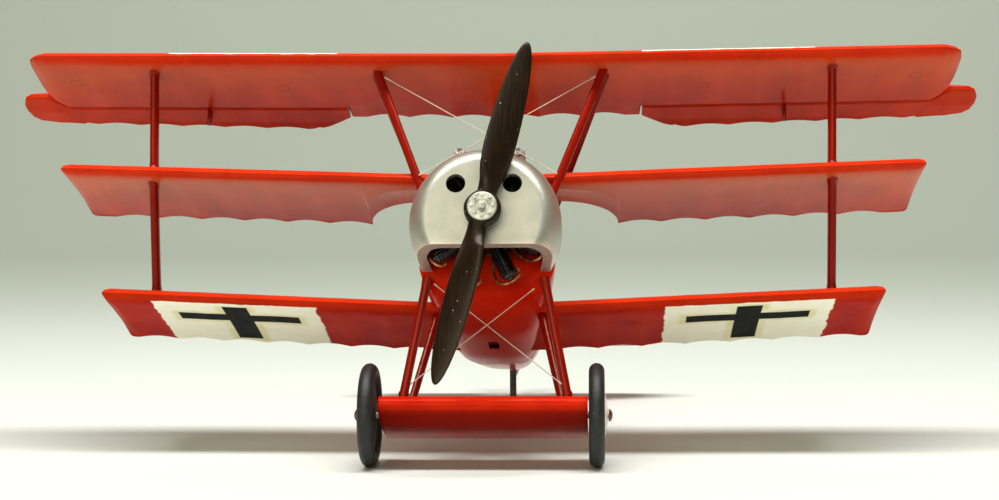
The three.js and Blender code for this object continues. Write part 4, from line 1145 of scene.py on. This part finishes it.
@dataclass
class Fuselage:
    """The body: two half shells, the firewall and the cockpit's fittings."""

    paint: Material
    leather: Material
    timber: Material
    metal: Material
    rows: tuple = (
        (8.86, 10.0, 10.0, -9.8), (9.6, 10.3, 10.15, -10.5), (12, 10.3, 10.3, -11.2), (17, 9.9, 10.6, -11.7),
        (24, 9.3, 10.8, -12.3), (40, 8.2, 10.6, -12.3), (48, 7.6, 10.2, -11.3), (60, 6.6, 9.4, -8.9),
        (74, 5.2, 8.2, -6.0), (88, 3.4, 6.85, -2.8), (98, 2.1, 6.6, -0.4), (108, 0.8, 5.6, 1.8),
    )
    square_below: float = 4.0
    square_above: float = 2.4
    skin: float = 0.9
    cockpit: Point = (36.5, 4.6, 5.3)
    roll: float = 0.55

    def _rounded(self, around: int) -> tuple[Array, Array]:
        """A superellipse of unit size, boxy below and rounder above, as sideways and upward parts."""
        angle = np.linspace(0, 2 * np.pi, around, endpoint=False) + 1e-4
        cos, sin = np.cos(angle), np.sin(angle)
        power = np.where(sin > 0, 2 / self.square_above, 2 / self.square_below)
        return np.sign(cos) * np.abs(cos) ** power, np.sign(sin) * np.abs(sin) ** power

    def _outline(self, table: Array, y: float, offset: float) -> Array:
        """The hull's outline at one distance aft.

        Args:
            table: rows of (distance aft, half width, top, bottom).
            y: the distance aft.
            offset: how far outside the hull's skin, or inside where negative.

        Returns:
            Its points.
        """
        width, top, bottom = (np.interp(y, table[:, 0], table[:, i]) for i in (1, 2, 3))
        across, upward = self._rounded(120)
        height = np.where(upward > 0, top, -bottom) + offset
        return np.stack([across * (width + offset), 0 * across + y, upward * height], axis=-1)

    def shell(self, start: float, end: float, offset: float, around: int = 96) -> Shape:
        """A closed hull of outlines along the smoothed rows.

        Args:
            start, end: its distances aft.
            offset: how far outside the skin, or inside where negative.
            around: the points in an outline.

        Returns:
            Its points and faces.
        """
        table = np.array(self.rows)
        y = np.concatenate([[start], np.arange(math.ceil(start), end, 1.0), [end]])
        spread = np.linspace(-2.5, 2.5, 11)
        reach = np.minimum(1, (y - start + 0.2) / 2.5)[:, None]
        inside = np.clip(y[:, None] + spread * reach, start, end)
        sizes = [np.interp(inside, table[:, 0], table[:, i]).mean(1)[:, None] for i in (1, 2, 3)]
        width, top, bottom = sizes
        waist = 0.25 * np.maximum(0, top + bottom)
        across, upward = self._rounded(around)
        height = np.where(upward > 0, top - waist, waist - bottom) + offset
        x = across * np.maximum(0.2, width + offset)
        z = waist + upward * np.maximum(0.2, height)
        return loft(np.stack([x, np.repeat(y[:, None], around, 1), z], axis=-1))

    def build(self) -> None:
        """Make every piece."""
        middle, half_width, half_length = self.cockpit
        angle = np.linspace(0, 2 * np.pi, 72, endpoint=False)
        out = np.stack([np.cos(angle), np.sin(angle), 0 * angle], axis=-1)
        oval = out * [half_width, half_length, 0] + [0, middle, 0]
        well = loft(np.stack([oval + [0, 0, 3.5], oval + [0, 0, 15.5]]))
        slot = block(-0.8, 0.8, 29.2, 33.7, -20, -9.6)
        outer, inner = self.shell(9.63, 108, 0), self.shell(9.0, 96, -self.skin)
        for name, side in SIDES:
            far, seam = sorted((-20 * side, 0.004 * side))
            away = block(far, seam, 0, 120, -20, 20)
            Piece(f"fuselage_{name}_shell", Body.AIRFRAME, (f"fuselage_{name}_half",), "red_body",
                  self.paint, 30).from_shape(outer, cutters=(inner, well, slot, away))
        table = np.array(self.rows)[:2]
        rounded_edge = (
            (8.86, 1.6), (8.88, 1.0), (8.95, 0.6), (9.1, 0.3), (9.3, 0.12), (9.5, 0.03), (9.62, 0))
        rings = np.stack([self._outline(table, y, -inset) for y, inset in rounded_edge])
        Piece("firewall_plate", Body.AIRFRAME, ("firewall",), "red_body", self.paint, 60).from_shape(
            loft(rings))
        rim = out * [half_width + 0.1, half_length + 0.1, 0] + [0, middle, 0]
        top, width = 10.7, 8.5
        power = self.square_above
        rim[:, 2] = top * (1 - (np.abs(rim[:, 0]) / width) ** power) ** (1 / power) + 0.2
        around = np.linspace(0, 2 * np.pi, 16, endpoint=False)[None, :, None]
        rings = rim[:, None] + self.roll * (
            np.cos(around) * out[:, None] + np.sin(around) * np.array([0, 0, 1.0]))
        Piece("cockpit_roll", Body.AIRFRAME, ("cockpit_coaming",), "seat_leather", self.leather).from_shape(
            loft(rings, True))
        plain = (
            ("cockpit_boards", "cockpit_floor", "bare_timber", self.timber),
            ("instrument_board", "instrument_panel", "bare_timber", self.timber),
            ("seat_shell", "pilot_seat", "seat_leather", self.leather),
            ("stick_and_grip", "control_stick", "gun_metal", self.metal),
        )
        for name, node, slot_name, material in plain:
            Piece(name, Body.AIRFRAME, (node,), slot_name, material).from_node(node, 0.1)


# ---------------------------------------------------------------- nose


@dataclass
class Nose:
    """The cowling and the two machine guns."""

    silver: Material
    metal: Material
    radius: float = 11.2
    length: float = 8.8
    wall: float = 1.2
    shoulder: float = 3.0
    shoulder_length: float = 5.0
    hole: Point = (4.11, 4.02, 1.42)
    shaft_hole: float = 1.4
    mouth: float = -5.2
    mouth_fall: float = 1.6
    gun: Point = (4.4, 10.4, 12.8)

    def _arc(self, radius: float, y0: float, inset: float) -> Array:
        """A quarter oval from the flat face round to the cylinder wall.

        Args:
            radius: the wall's.
            y0: where the face is.
            inset: how far the shoulder draws in.

        Returns:
            Its rows of (radius, distance aft).
        """
        angle = np.linspace(0, np.pi / 2, 22)
        return np.stack([
            radius - inset * (1 - np.sin(angle)), y0 + (self.shoulder_length - y0) * (1 - np.cos(angle)),
        ], axis=-1)

    def build(self) -> None:
        """Make every piece."""
        inner = self._arc(self.radius - self.wall, self.wall, self.shoulder - self.wall + 0.6)[::-1]
        profile = np.concatenate([
            [[0, 0], [4, 0]], self._arc(self.radius, 0, self.shoulder),
            [[self.radius, 7], [self.radius, self.length], [self.radius - self.wall, self.length]],
            inner, [[0, self.wall]],
        ])
        cowl = moved(turned(profile, 160), (0, 0, THRUST_Z))
        x, z, hole = self.hole
        holes = [moved(turned([[0, -2], [hole, -2], [hole, 4], [0, 4]], 48), (at, 0, z)) for at in (-x, x)]
        hole = self.shaft_hole
        shaft = moved(turned([[0, -2], [hole, -2], [hole, 4], [0, 4]], 32), (0, 0, THRUST_Z))
        slope = -self.mouth_fall / self.length
        below = np.array([[-15, -20, 0], [15, -20, 0], [15, 20, 0], [-15, 20, 0]], float)
        below[:, 2] = self.mouth + slope * below[:, 1]
        under = loft(np.stack([below, below - [0, 0, 25]]))
        Piece("cowling_shell", Body.AIRFRAME, ("cowling",), "cowl_silver", self.silver, 42).from_shape(
            cowl, 0.22, (*holes, shaft, under))
        x, muzzle, z = self.gun
        for name, side in SIDES:
            rings = np.arange(1.4, 8.4, 1.0)
            jacket = [[0.34, 0.5], [0.34, 0], [0.72, 0], [0.72, 0.7], [1.05, 0.9]]
            for at in rings:
                jacket += [[1.1, at], [1.1, at + 0.55], [1.0, at + 0.62], [1.0, at + 0.93]]
            jacket += [[1.1, 8.6], [1.1, 9.0], [0, 9.0]]
            shapes = merged(
                turned([[0, 0.5], *jacket], 28), block(-0.85, 0.85, 8.6, 17.5, -1.1, 1.0),
                block(-0.35, 0.35, 3.0, 4.2, -3.2, -0.5), block(-0.6, 0.6, 12.0, 15.0, -3.4, -0.5),
                block(min(0, side * 1.5), max(0, side * 1.5), 10, 12.5, -0.5, 0.6),
                block(-0.12, 0.12, 16.4, 16.9, 0.9, 1.9), block(-0.9, 0.9, 13.2, 15.6, 0.9, 1.15),
            )
            Piece(f"gun_{name}_body", Body.AIRFRAME, (f"gun_{name}",), "gun_metal", self.metal).from_shape(
                moved(shapes, (side * x, muzzle, z)), 0.06)


# ---------------------------------------------------------------- engine and propeller


@dataclass
class Rotor:
    """The rotary engine and the propeller, which turn together."""

    black: Material
    copper: Material
    steel: Material
    wood: Material
    plane: float = 5.2
    case_radius: float = 3.9
    case_depth: float = 3.4
    head: float = 9.2
    first: float = 25.0
    cylinders: int = 9
    propeller_plane: float = -2.4
    propeller_radius: float = 26.5
    hub_radius: float = 2.7
    hub_depth: float = 2.3
    pitch: float = 42.0
    lean: float = 13.8

    def _cylinder(self) -> Shape:
        """A finned cylinder standing along +Z: a profile of radius and height turned about Z."""
        profile = [[0, self.case_radius - 0.6], [1.0, self.case_radius - 0.6]]
        for at in np.linspace(self.case_radius + 0.3, self.head - 1.0, 11):
            profile += [[0.98, at], [1.3, at + 0.07], [1.3, at + 0.16], [0.98, at + 0.23]]
        profile += [[1.05, self.head - 0.7], [0.85, self.head - 0.35], [0.5, self.head - 0.3],
                    [0.45, self.head], [0, self.head]]
        points, faces = turned(profile, 28)
        return points[:, [0, 2, 1]], [face[::-1] for face in faces]

    def _pipe(self) -> Shape:
        """An intake pipe that loops from the crankcase's rear over a cylinder's head."""
        rear = self.case_depth / 2
        route = [(0.7, rear + 0.45, self.case_radius - 0.1), (1.7, rear + 0.1, 6.6), (1.95, 0.7, 8.2),
                 (1.3, 0.1, 9.3), (-0.2, -0.1, 9.5), (-1.4, -0.1, 8.95), (-1.55, 0.0, 8.0)]
        return tube(smooth_path(route, 44), 0.21, 12)

    def _blade(self) -> Shape:
        """The whole propeller, tip to tip, as one loft along Z.

        The section at distance r is an oval of width w(r) turned by the pitch's angle; near the
        middle w is the hub's circle, then a narrow root, a wide blade and a round tip.
        """
        r = np.concatenate([np.linspace(0, 4, 26), np.linspace(4.3, self.propeller_radius - 1, 50),
                            self.propeller_radius - np.geomspace(1, 0.004, 12)[1:]])
        z = np.concatenate([-r[:0:-1], r])
        away = np.abs(z)[:, None]
        rise = np.maximum(2.8, np.sin(np.pi / 2 * np.minimum(1, (away + 1) / 12)) * 4.35)
        along = np.maximum(0, (away - 12) / (self.propeller_radius - 12))
        blade = rise * np.sqrt(np.maximum(0, 1 - along**2))
        hub = 2 * np.sqrt(np.maximum(0, self.hub_radius**2 - away**2))
        width = (hub**6 + blade**6) ** (1 / 6)
        ease = np.clip((away - 1.2) / 5, 0, 1)
        helix = np.arctan(self.pitch / (2 * np.pi * np.maximum(away, 4)))
        twist = np.minimum(0.85, helix) * ease**2 * (3 - 2 * ease)
        width = width / np.cos(twist)
        blade_thick = np.interp(away, [0, 4, 10, 22, self.propeller_radius], [2.3, 2.1, 1.35, 0.6, 0.35])
        thick = blade_thick * np.minimum(1, width / 1.2)
        angle = np.linspace(0, 2 * np.pi, 40, endpoint=False)[None, :]
        boxy = np.clip(1 - away / 3.4, 0, 1) * 0.55
        cos, sin = np.cos(angle), np.sin(angle)
        across = np.sign(cos) * np.abs(cos) ** (1 - boxy * 0.9) * width / 2
        deep = np.sign(sin) * np.abs(sin) ** (1 - boxy) * thick / 2
        hand = np.sign(z)[:, None] + (z == 0)[:, None]
        x = (across * np.cos(twist) - deep * np.sin(twist) * hand)
        y = (across * np.sin(twist) * hand + deep * np.cos(twist))
        return loft(np.stack([x, y, np.repeat(z[:, None], 40, 1)], axis=-1))

    def build(self) -> None:
        """Make every piece."""
        centre = (0, self.plane, THRUST_Z)
        depth = self.case_depth / 2
        drum = turned([
            [0, -depth], [2.4, -depth], [3.4, -depth + 0.1], [3.9, -depth + 0.6],
            [3.9, depth - 0.4], [3.6, depth], [0, depth]], 48)
        angles = [180 - self.first + 360 * k / self.cylinders for k in range(self.cylinders)]
        bank = merged(drum, *[turned_about_y(self._cylinder(), a) for a in angles])
        self._piece("engine_cylinders", "engine_cylinder_bank", "engine_black", self.black).from_shape(
            moved(bank, centre))
        ring = turned([[2.6, depth + 0.2], [4.1, depth + 0.2], [4.1, depth + 0.65], [2.6, depth + 0.65]], 48)
        pipes = merged(*[turned_about_y(self._pipe(), a) for a in angles])
        self._piece("engine_pipes", "engine_intake_pipes", "intake_copper", self.copper).from_shape(
            moved(merged(pipes, ring), centre))
        front = -depth
        rod = tube(np.linspace((0, front - 0.3, 2.0), (0.2, -1.53, self.head - 0.4), 4), 0.12, 10)
        rods = merged(*[turned_about_y(rod, a) for a in angles])
        near, far = front - 0.55, front - 0.1
        collar = turned([[0.95, near], [2.3, near], [2.3, far], [0.95, far]], 36)
        self._piece("engine_pushrods", "engine_pushrod_star", "hub_steel", self.black).from_shape(
            moved(merged(rods, collar), centre))
        hub = (0, self.propeller_plane, THRUST_Z)
        blade = turned_about_y(self._blade(), self.lean)
        self._piece("propeller_blades", "propeller", "propeller_wood", self.wood, 60).from_shape(
            moved(blade, hub))
        face = -self.hub_depth / 2 - 0.06
        plate = [turned([[0, face - 0.3], [0.95, face - 0.3], [1.05, face - 0.4], [2.0, face - 0.4],
                         [2.16, face - 0.25], [2.16, face], [0, face]], 48)]
        angle = np.linspace(0, 2 * np.pi, 8, endpoint=False)
        for a in angle:
            bolt = turned([[0, face - 0.62], [0.2, face - 0.62], [0.26, face - 0.56], [0.26, face - 0.3],
                           [0, face - 0.3]], 6)
            plate.append(moved(bolt, (1.55 * math.cos(a), 0, 1.55 * math.sin(a))))
        plate.append(turned([[0, face - 0.7], [0.5, face - 0.7], [0.6, face - 0.6], [0.6, face - 0.2],
                             [0, face - 0.2]], 6))
        self._piece("propeller_boss_plate", "propeller_hub_plate", "hub_steel", self.steel, 25).from_shape(
            moved(merged(*plate), hub), 0.04)
        self._piece("propeller_axle", "propeller_shaft", "hub_steel", self.steel).from_node("propeller_shaft")

    @staticmethod
    def _piece(name: str, node: str, slot: str, material: Material, *smooth: float) -> Piece:
        """A piece that turns with the rotor.

        Args:
            name, node: the piece, and the CAD's node that it stands for.
            slot, material: how it is finished.
            smooth: the angle below which its edges are smooth, where not the usual one.

        Returns:
            The piece, not yet shaped.
        """
        return Piece(name, Body.ROTOR, (node,), slot, material, *smooth)


# ---------------------------------------------------------------- struts and rigging


@dataclass
class Rigging:
    """Struts between the wings, struts to the fuselage, and the thread wires."""

    paint: Material
    thread: Material
    strut: tuple[float, float] = (2.8, 1.3)

    def build(self) -> None:
        """Make every piece."""
        chord, thick = self.strut
        at = 4.6
        for name, side in SIDES:
            ends = {
                key: plan.at(np.array(side * x), np.array(at), np.array(h))
                for key, plan, x, h in (
                    ("low", LOW_PLAN, 52.1, 1.3), ("mid_under", MID_PLAN, 52.1, 0.3),
                    ("mid", MID_PLAN, 52.1, 1.3), ("top", TOP_PLAN, 52.5, 0.3))
            }
            for level, start, end in (("upper", "mid", "top"), ("lower", "low", "mid_under")):
                node = f"interplane_strut_{name}_{level}"
                Piece(f"{node}_bar", Body.AIRFRAME, (node,), "red_strut", self.paint).from_shape(
                    streamlined_bar(ends[start], ends[end], chord, thick, 1.6, 0.05, 60))
            cabane = (
                ("front", (side * 17.5, 11.5, 26.4), (side * 9.3, 9.9, 4.6), 1.5, 1.3),
                ("rear", (side * 17.9, 13.4, 26.4), (side * 8.2, 24.6, 3.8), 1.5, 1.15),
            )
            for where, start, end, wide, deep in cabane:
                node = f"cabane_strut_{name}_{where}"
                Piece(f"{node}_bar", Body.AIRFRAME, (node,), "red_strut", self.paint).from_shape(
                    streamlined_bar(start, end, wide, deep, 1.0, 0.05))
            offset = side * 0.16
            high, low = (side * 16.2, 11.0 + offset, 25.1), (side * -10.4, 9.25 + offset, 8.6)
            self._wire(f"cabane_wire_{name}", high, low)
        self._wire("undercarriage_wire_left", (7.1, 8.1, -9.6), (-11.0, 9.75, -23.6))
        self._wire("undercarriage_wire_right", (-7.6, 7.9, -8.9), (11.1, 9.45, -23.6))

    def _wire(self, node: str, start: Point, end: Point) -> None:
        """A straight thread with a slight thickening at each end.

        Args:
            node: the CAD's node, which also names the piece.
            start, end: where it is fixed.
        """
        path = np.linspace(start, end, 30)
        t = np.linspace(0, 1, 30)
        radius = 0.075 + 0.06 * np.exp(-((np.minimum(t, 1 - t) / 0.02) ** 2))
        Piece(f"{node}_thread", Body.AIRFRAME, (node,), "rigging_thread", self.thread).from_shape(
            tube(path, radius, 10))


# ---------------------------------------------------------------- undercarriage


@dataclass
class Undercarriage:
    """Legs, axle, axle wing and wheels."""

    paint: Material
    wing_paint: Material
    steel: Material
    rubber: Material
    white: Material
    shade: Material
    brown: Material
    radius: float = 7.6
    half_width: float = 1.15
    section: float = 1.2
    track: float = 16.6
    slide: float = -0.4
    axle_end: float = 18.5
    bore: float = 0.65
    wing_nose: tuple[float, float] = (6.9, -26.8)
    wing_chord: float = 13.2

    def axle_wing(self) -> Shape:
        """The small wing round the axle: an oval nose, flat to 0.3 of the chord, then falling."""
        x = np.linspace(-15.3, 14.9, 61)
        u = (1 - np.cos(np.linspace(0, np.pi, 60))) / 2
        lens = 1.45 * np.sqrt(1 - (1 - np.minimum(1, u / 0.13)) ** 2)
        lens = lens * np.where(u < 0.3, 1, 1 - ((u - 0.3) / 0.7) ** 2 * 0.9)
        angle = AXLE_WING_TILT
        front, level = self.wing_nose
        s = u * self.wing_chord

        def side(sign: float) -> Array:
            """One skin of the wing."""
            h = sign * lens
            return np.stack([0 * u, front + s * math.cos(angle) + h * math.sin(angle),
                             level - s * math.sin(angle) + h * math.cos(angle)], axis=-1)

        ring = np.concatenate([side(1)[::-1], side(-1)[1:]])
        rings = ring[None] + x[:, None, None] * np.array([1.0, 0, 0])
        return loft(rings)

    def build(self) -> None:
        """Make every piece."""
        Piece("axle_wing_skin", Body.AIRFRAME, ("axle_wing",), "red_wing", self.wing_paint).from_shape(
            self.axle_wing(), 0.12)
        tips = [(side * self.axle_end + self.slide, AXLE_Y, AXLE_Z) for side in (-1, 1)]
        Piece("axle_rod", Body.AIRFRAME, ("axle",), "hub_steel", self.steel).from_shape(
            tube(np.linspace(*tips, 4), 0.5, 24))
        for name, side in SIDES:
            legs = (
                ("front", (side * 8.6, 8.06, -7.9), (side * 12.2, 10.3, -26.6), 1.7, 1.3),
                ("rear", (side * 7.9, 18.9, -10.6), (side * 11.4, 13.4, -26.8), 1.7, 1.2),
            )
            for where, start, end, chord, thick in legs:
                node = f"undercarriage_leg_{name}_{where}"
                leg = streamlined_bar(start, end, chord, thick, 1.2, 0.06)
                a, b = np.array(start), np.array(end)
                low, high = a + (b - a) * 0.9, a + (b - a) * 0.93
                collar = streamlined_bar(low, high, chord * 1.18, thick * 1.2, 1, 0.1, 4)
                Piece(f"{node}_bar", Body.AIRFRAME, (node,), "red_strut", self.paint).from_shape(
                    merged(leg, collar))
            self._wheel(name, side)

    def _wheel(self, name: str, side: int) -> None:
        """One wheel: its tyre, two covers and the axle's cap.

        Args:
            name, side: which side it is on, and that side's sign.
        """
        body = Body(f"wheel_{name}")
        angle = np.linspace(0, 2 * np.pi, 33)[:-1]
        tyre = np.stack([self.radius - self.section + self.section * np.cos(angle),
                         self.half_width * np.sin(angle)], axis=-1)
        rim = self.radius - 2 * self.section + 0.12
        r = np.linspace(self.bore, rim, 24)
        dome = 1.6 - 0.85 * ((r - self.bore) / (rim - self.bore)) ** 1.25
        outer = np.concatenate([np.stack([r, dome], -1), np.stack([r, dome - 0.4], -1)[::-1]])
        flat = dome * -0.6
        inner = np.concatenate([np.stack([r, flat], -1), np.stack([r, flat + 0.3], -1)[::-1]])

        def placed(shape: Shape) -> Shape:
            """Turn a shape's Y axis to point outboard and put it at the wheel's middle."""
            points, faces = shape
            turned_points = np.stack([points[:, 1] * side, points[:, 0] * -side, points[:, 2]], axis=-1)
            return turned_points + [side * self.track + self.slide, AXLE_Y, AXLE_Z], faces

        rows = (
            (f"tyre_{name}_ring", f"tyre_{name}", "tyre_black", self.rubber, hoop(tyre, 96)),
            (f"wheel_disc_outer_{name}", f"wheel_cover_outer_{name}", "cover_white", self.white,
             hoop(outer, 72)),
            (f"wheel_disc_inner_{name}", f"wheel_cover_inner_{name}", "cover_inner", self.shade,
             hoop(inner, 72)),
        )
        for piece, node, slot, material, shape in rows:
            Piece(piece, body, (node,), slot, material).from_shape(placed(shape))
        profile = (
            (0, 1.75), (0.95, 1.72), (0.95, 1.78), (0.8, 2.05), (0.5, 2.23), (0.2, 2.3), (0, 2.3))
        cap = turned(profile, 32)
        Piece(f"axle_nut_{name}", Body.AIRFRAME, (f"axle_cap_{name}",), "cap_brown", self.brown).from_shape(
            placed(cap))


# ---------------------------------------------------------------- tail


@dataclass
class Tail:
    """Tailplane, elevator, rudder, their hinges and the skid."""

    paint: Material
    steel: Material
    timber: Material

    def build(self) -> None:
        """Make every piece."""
        rows = (
            ("tailplane_skin", "tailplane", Body.AIRFRAME, "red_wing", self.paint, 0.3),
            ("elevator_skin", "elevator", Body.ELEVATOR, "red_wing", self.paint, 0.3),
            ("rudder_skin", "rudder", Body.RUDDER, "red_wing", self.paint, 0.3),
            ("elevator_hinge", "elevator_hinge_rod", Body.AIRFRAME, "hub_steel", self.steel, 0.0),
            ("rudder_hinge", "rudder_hinge_pin", Body.AIRFRAME, "hub_steel", self.steel, 0.05),
            ("skid_bar", "tail_skid", Body.AIRFRAME, "skid_timber", self.timber, 0.12),
        )
        for name, node, body, slot, material, bevel in rows:
            Piece(name, body, (node,), slot, material).from_node(node, bevel)


# ---------------------------------------------------------------- stage


@dataclass
class Stage:
    """The pale floor and backdrop, soft light and the camera."""

    eye: Point = (15.838, -253.503, -83.894)
    yaw: float = math.radians(-3.04)
    pitch: float = math.radians(17.031)
    roll: float = math.radians(0.638)
    lens: float = 66.8

    def camera(self) -> None:
        """Set the camera where it looks up a little at the standing aircraft's nose."""
        forward = np.array([
            math.sin(self.yaw) * math.cos(self.pitch), math.cos(self.yaw) * math.cos(self.pitch),
            math.sin(self.pitch)])
        right = np.cross(forward, [0, 0, 1])
        right /= np.linalg.norm(right)
        up = np.cross(right, forward)
        across = math.cos(self.roll) * right + math.sin(self.roll) * up
        above = -math.sin(self.roll) * right + math.cos(self.roll) * up
        matrix = np.eye(4)
        matrix[:3, :3] = CRAFT.turn @ np.stack([across, above, -forward], axis=-1)
        matrix[:3, 3] = CRAFT.to_row(np.array([self.eye]))[0]
        data = bpy.data.cameras.new("camera")
        data.lens, data.sensor_width = self.lens, 36
        data.clip_start, data.clip_end = 0.01, 20
        camera = bpy.data.objects.new("camera", data)
        camera.matrix_world = Matrix(matrix.tolist())
        bpy.context.scene.collection.objects.link(camera)
        bpy.context.scene.camera = camera

    def floor(self) -> None:
        """A sheet that lies flat and curves up behind: a straight run, an arc and a wall."""
        run = np.linspace(-1.6, 1.1, 40)
        angle = np.linspace(0, np.pi / 2, 24)[1:]
        y = np.concatenate([run, 1.1 + 0.6 * np.sin(angle), [1.7]])
        z = np.concatenate([0 * run, 0.6 * (1 - np.cos(angle)), [3.2]])
        x = np.array([-3.0, 3.0])
        points = np.stack([np.repeat(x, len(y)), np.tile(y, 2), np.tile(z, 2)], axis=-1)
        k = np.arange(len(y) - 1)
        faces = np.stack([k, k + len(y), k + len(y) + 1, k + 1], axis=-1)
        mesh = bpy.data.meshes.new("floor")
        mesh.from_pydata(points.tolist(), [], faces.tolist())
        mesh.shade_smooth()
        mesh.materials.append(FloorPaper("floor_paper").build())
        floor = bpy.data.objects.new("floor", mesh)
        bpy.context.scene.collection.objects.link(floor)

    def light(
        self, name: str, place: Point, size: tuple[float, float], power: float, aim: Point,
        colour: Colour = (1.0, 1.0, 1.0),
    ) -> None:
        """An area light that faces a point."""
        data = bpy.data.lights.new(name, "AREA")
        data.color = colour
        data.shape, data.size, data.size_y, data.energy = "RECTANGLE", size[0], size[1], power
        lamp = bpy.data.objects.new(name, data)
        lamp.location = place
        lamp.rotation_mode = "QUATERNION"
        lamp.rotation_quaternion = (Vector(aim) - Vector(place)).to_track_quat("-Z", "Y")
        bpy.context.scene.collection.objects.link(lamp)

    def build(self) -> None:
        """Make the stage."""
        self.camera()
        self.floor()
        self.light("overhead", (0.0, -0.15, 0.62), (0.7, 0.14), 7.0, (0, 0, 0))
        self.light("front_fill", (-0.2, -0.9, 0.35), (0.8, 0.4), 3.2, (0, 0, 0.04), (1.0, 0.93, 0.78))
        self.light("backdrop_wash", (0.0, 0.75, 1.1), (2.2, 0.5), 10.5, (0, 1.5, 0.25))
        bpy.context.scene.view_settings.view_transform = "Standard"
        world = bpy.data.worlds.new("soft_room")
        bpy.context.scene.world = world
        world.use_nodes = True
        background = world.node_tree.nodes["Background"]
        background.inputs["Color"].default_value = (1.0, 0.84, 0.62, 1)
        background.inputs["Strength"].default_value = 0.17


# ---------------------------------------------------------------- the aircraft


def main() -> None:
    """Build the stage and every sub-assembly in order."""
    logging.basicConfig(level=logging.INFO, format="%(name)s %(message)s")
    Stage().build()
    # deep=0.85 is painted shade: a darkened copy of the red for the struts, undercarriage legs and aileron
    # levers.
    strut_red = RedPaint("red_struts", (0.5, 0.5, 0.1), gloss=0.22, deep=0.85, shine=0.2).build()
    body_red = HullPaint("red_fuselage", (0.4, 0.15, 0.4), gloss=0.12, shine=0.02).build()
    steel = Metal("pale_steel", srgb(198, 200, 184), srgb(160, 160, 146), 0.75, 0.34, 0.8).build()
    gun = Metal("dark_gun_metal", srgb(200, 200, 196), srgb(128, 128, 128), 0.45, 0.38).build()
    leather = Plain("brown_leather", srgb(94, 52, 30), srgb(62, 34, 20), 0.6, scale=2.0).build()
    timber = Plain("pale_timber", srgb(176, 138, 92), srgb(142, 104, 64), 0.6, (4, 0.3, 4)).build()
    paints = {
        "top": WingPaint(
            "red_top_wing", shine=0.05, marking=Marking.ABOVE, panel=(23.5, 49.5), hinge=True,
            floor_reflection_share=0.2, pins=((33.1, 10.0), (65.8, 8.3)),
        ).build(),
        "mid": WingPaint("red_mid_wing", shine=0.06, rib_offset=5.8, floor_reflection_share=0.26).build(),
        # deep=0.25 is painted shade over the whole lower wing.
        "lower": WingPaint(
            "red_lower_wing", shine=0.006, deep=0.25, marking=Marking.BELOW, rib_offset=9.5).build(),
        "aileron": WingPaint("red_ailerons", shine=0.03, rib_offset=3, hinge=True, floor_reflection_share=0.2).build(),
        "small": strut_red,
    }
    Wings(paints, steel).build()
    Fuselage(body_red, leather, timber, gun).build()
    Nose(SilverPaint("silver_cowling").build(), gun).build()
    Rotor(
        EngineBlack("engine_black_paint").build(),
        Metal("copper_pipe", srgb(196, 140, 92), srgb(110, 70, 42), 0.85, 0.32).build(),
        steel, DarkWood("dark_propeller_wood").build(),
    ).build()
    thread = Plain("pale_thread", srgb(214, 200, 180), srgb(180, 160, 138), 0.7, scale=6).build()
    Rigging(strut_red, thread).build()
    Undercarriage(
        strut_red, AxleWingPaint("red_axle_wing", (0.1, 0.5, 0.5), shine=0.05).build(), steel,
        Rubber("tyre_rubber").build(),
        Plain("white_cover", srgb(238, 236, 224), srgb(214, 210, 190), 0.35, coat=0.3, scale=0.5).build(),
        Plain("shaded_cover", srgb(44, 42, 40), srgb(30, 28, 27), 0.6).build(),
        Plain("brown_cap", srgb(120, 48, 26), srgb(80, 30, 18), 0.4, coat=0.3).build(),
    ).build()
    Tail(RedPaint("red_tail", (0.15, 0.5, 0.5)).build(), steel,
         Plain("dark_skid", srgb(74, 66, 58), srgb(46, 42, 40), 0.55).build()).build()


if __name__ == "__main__":
    main()
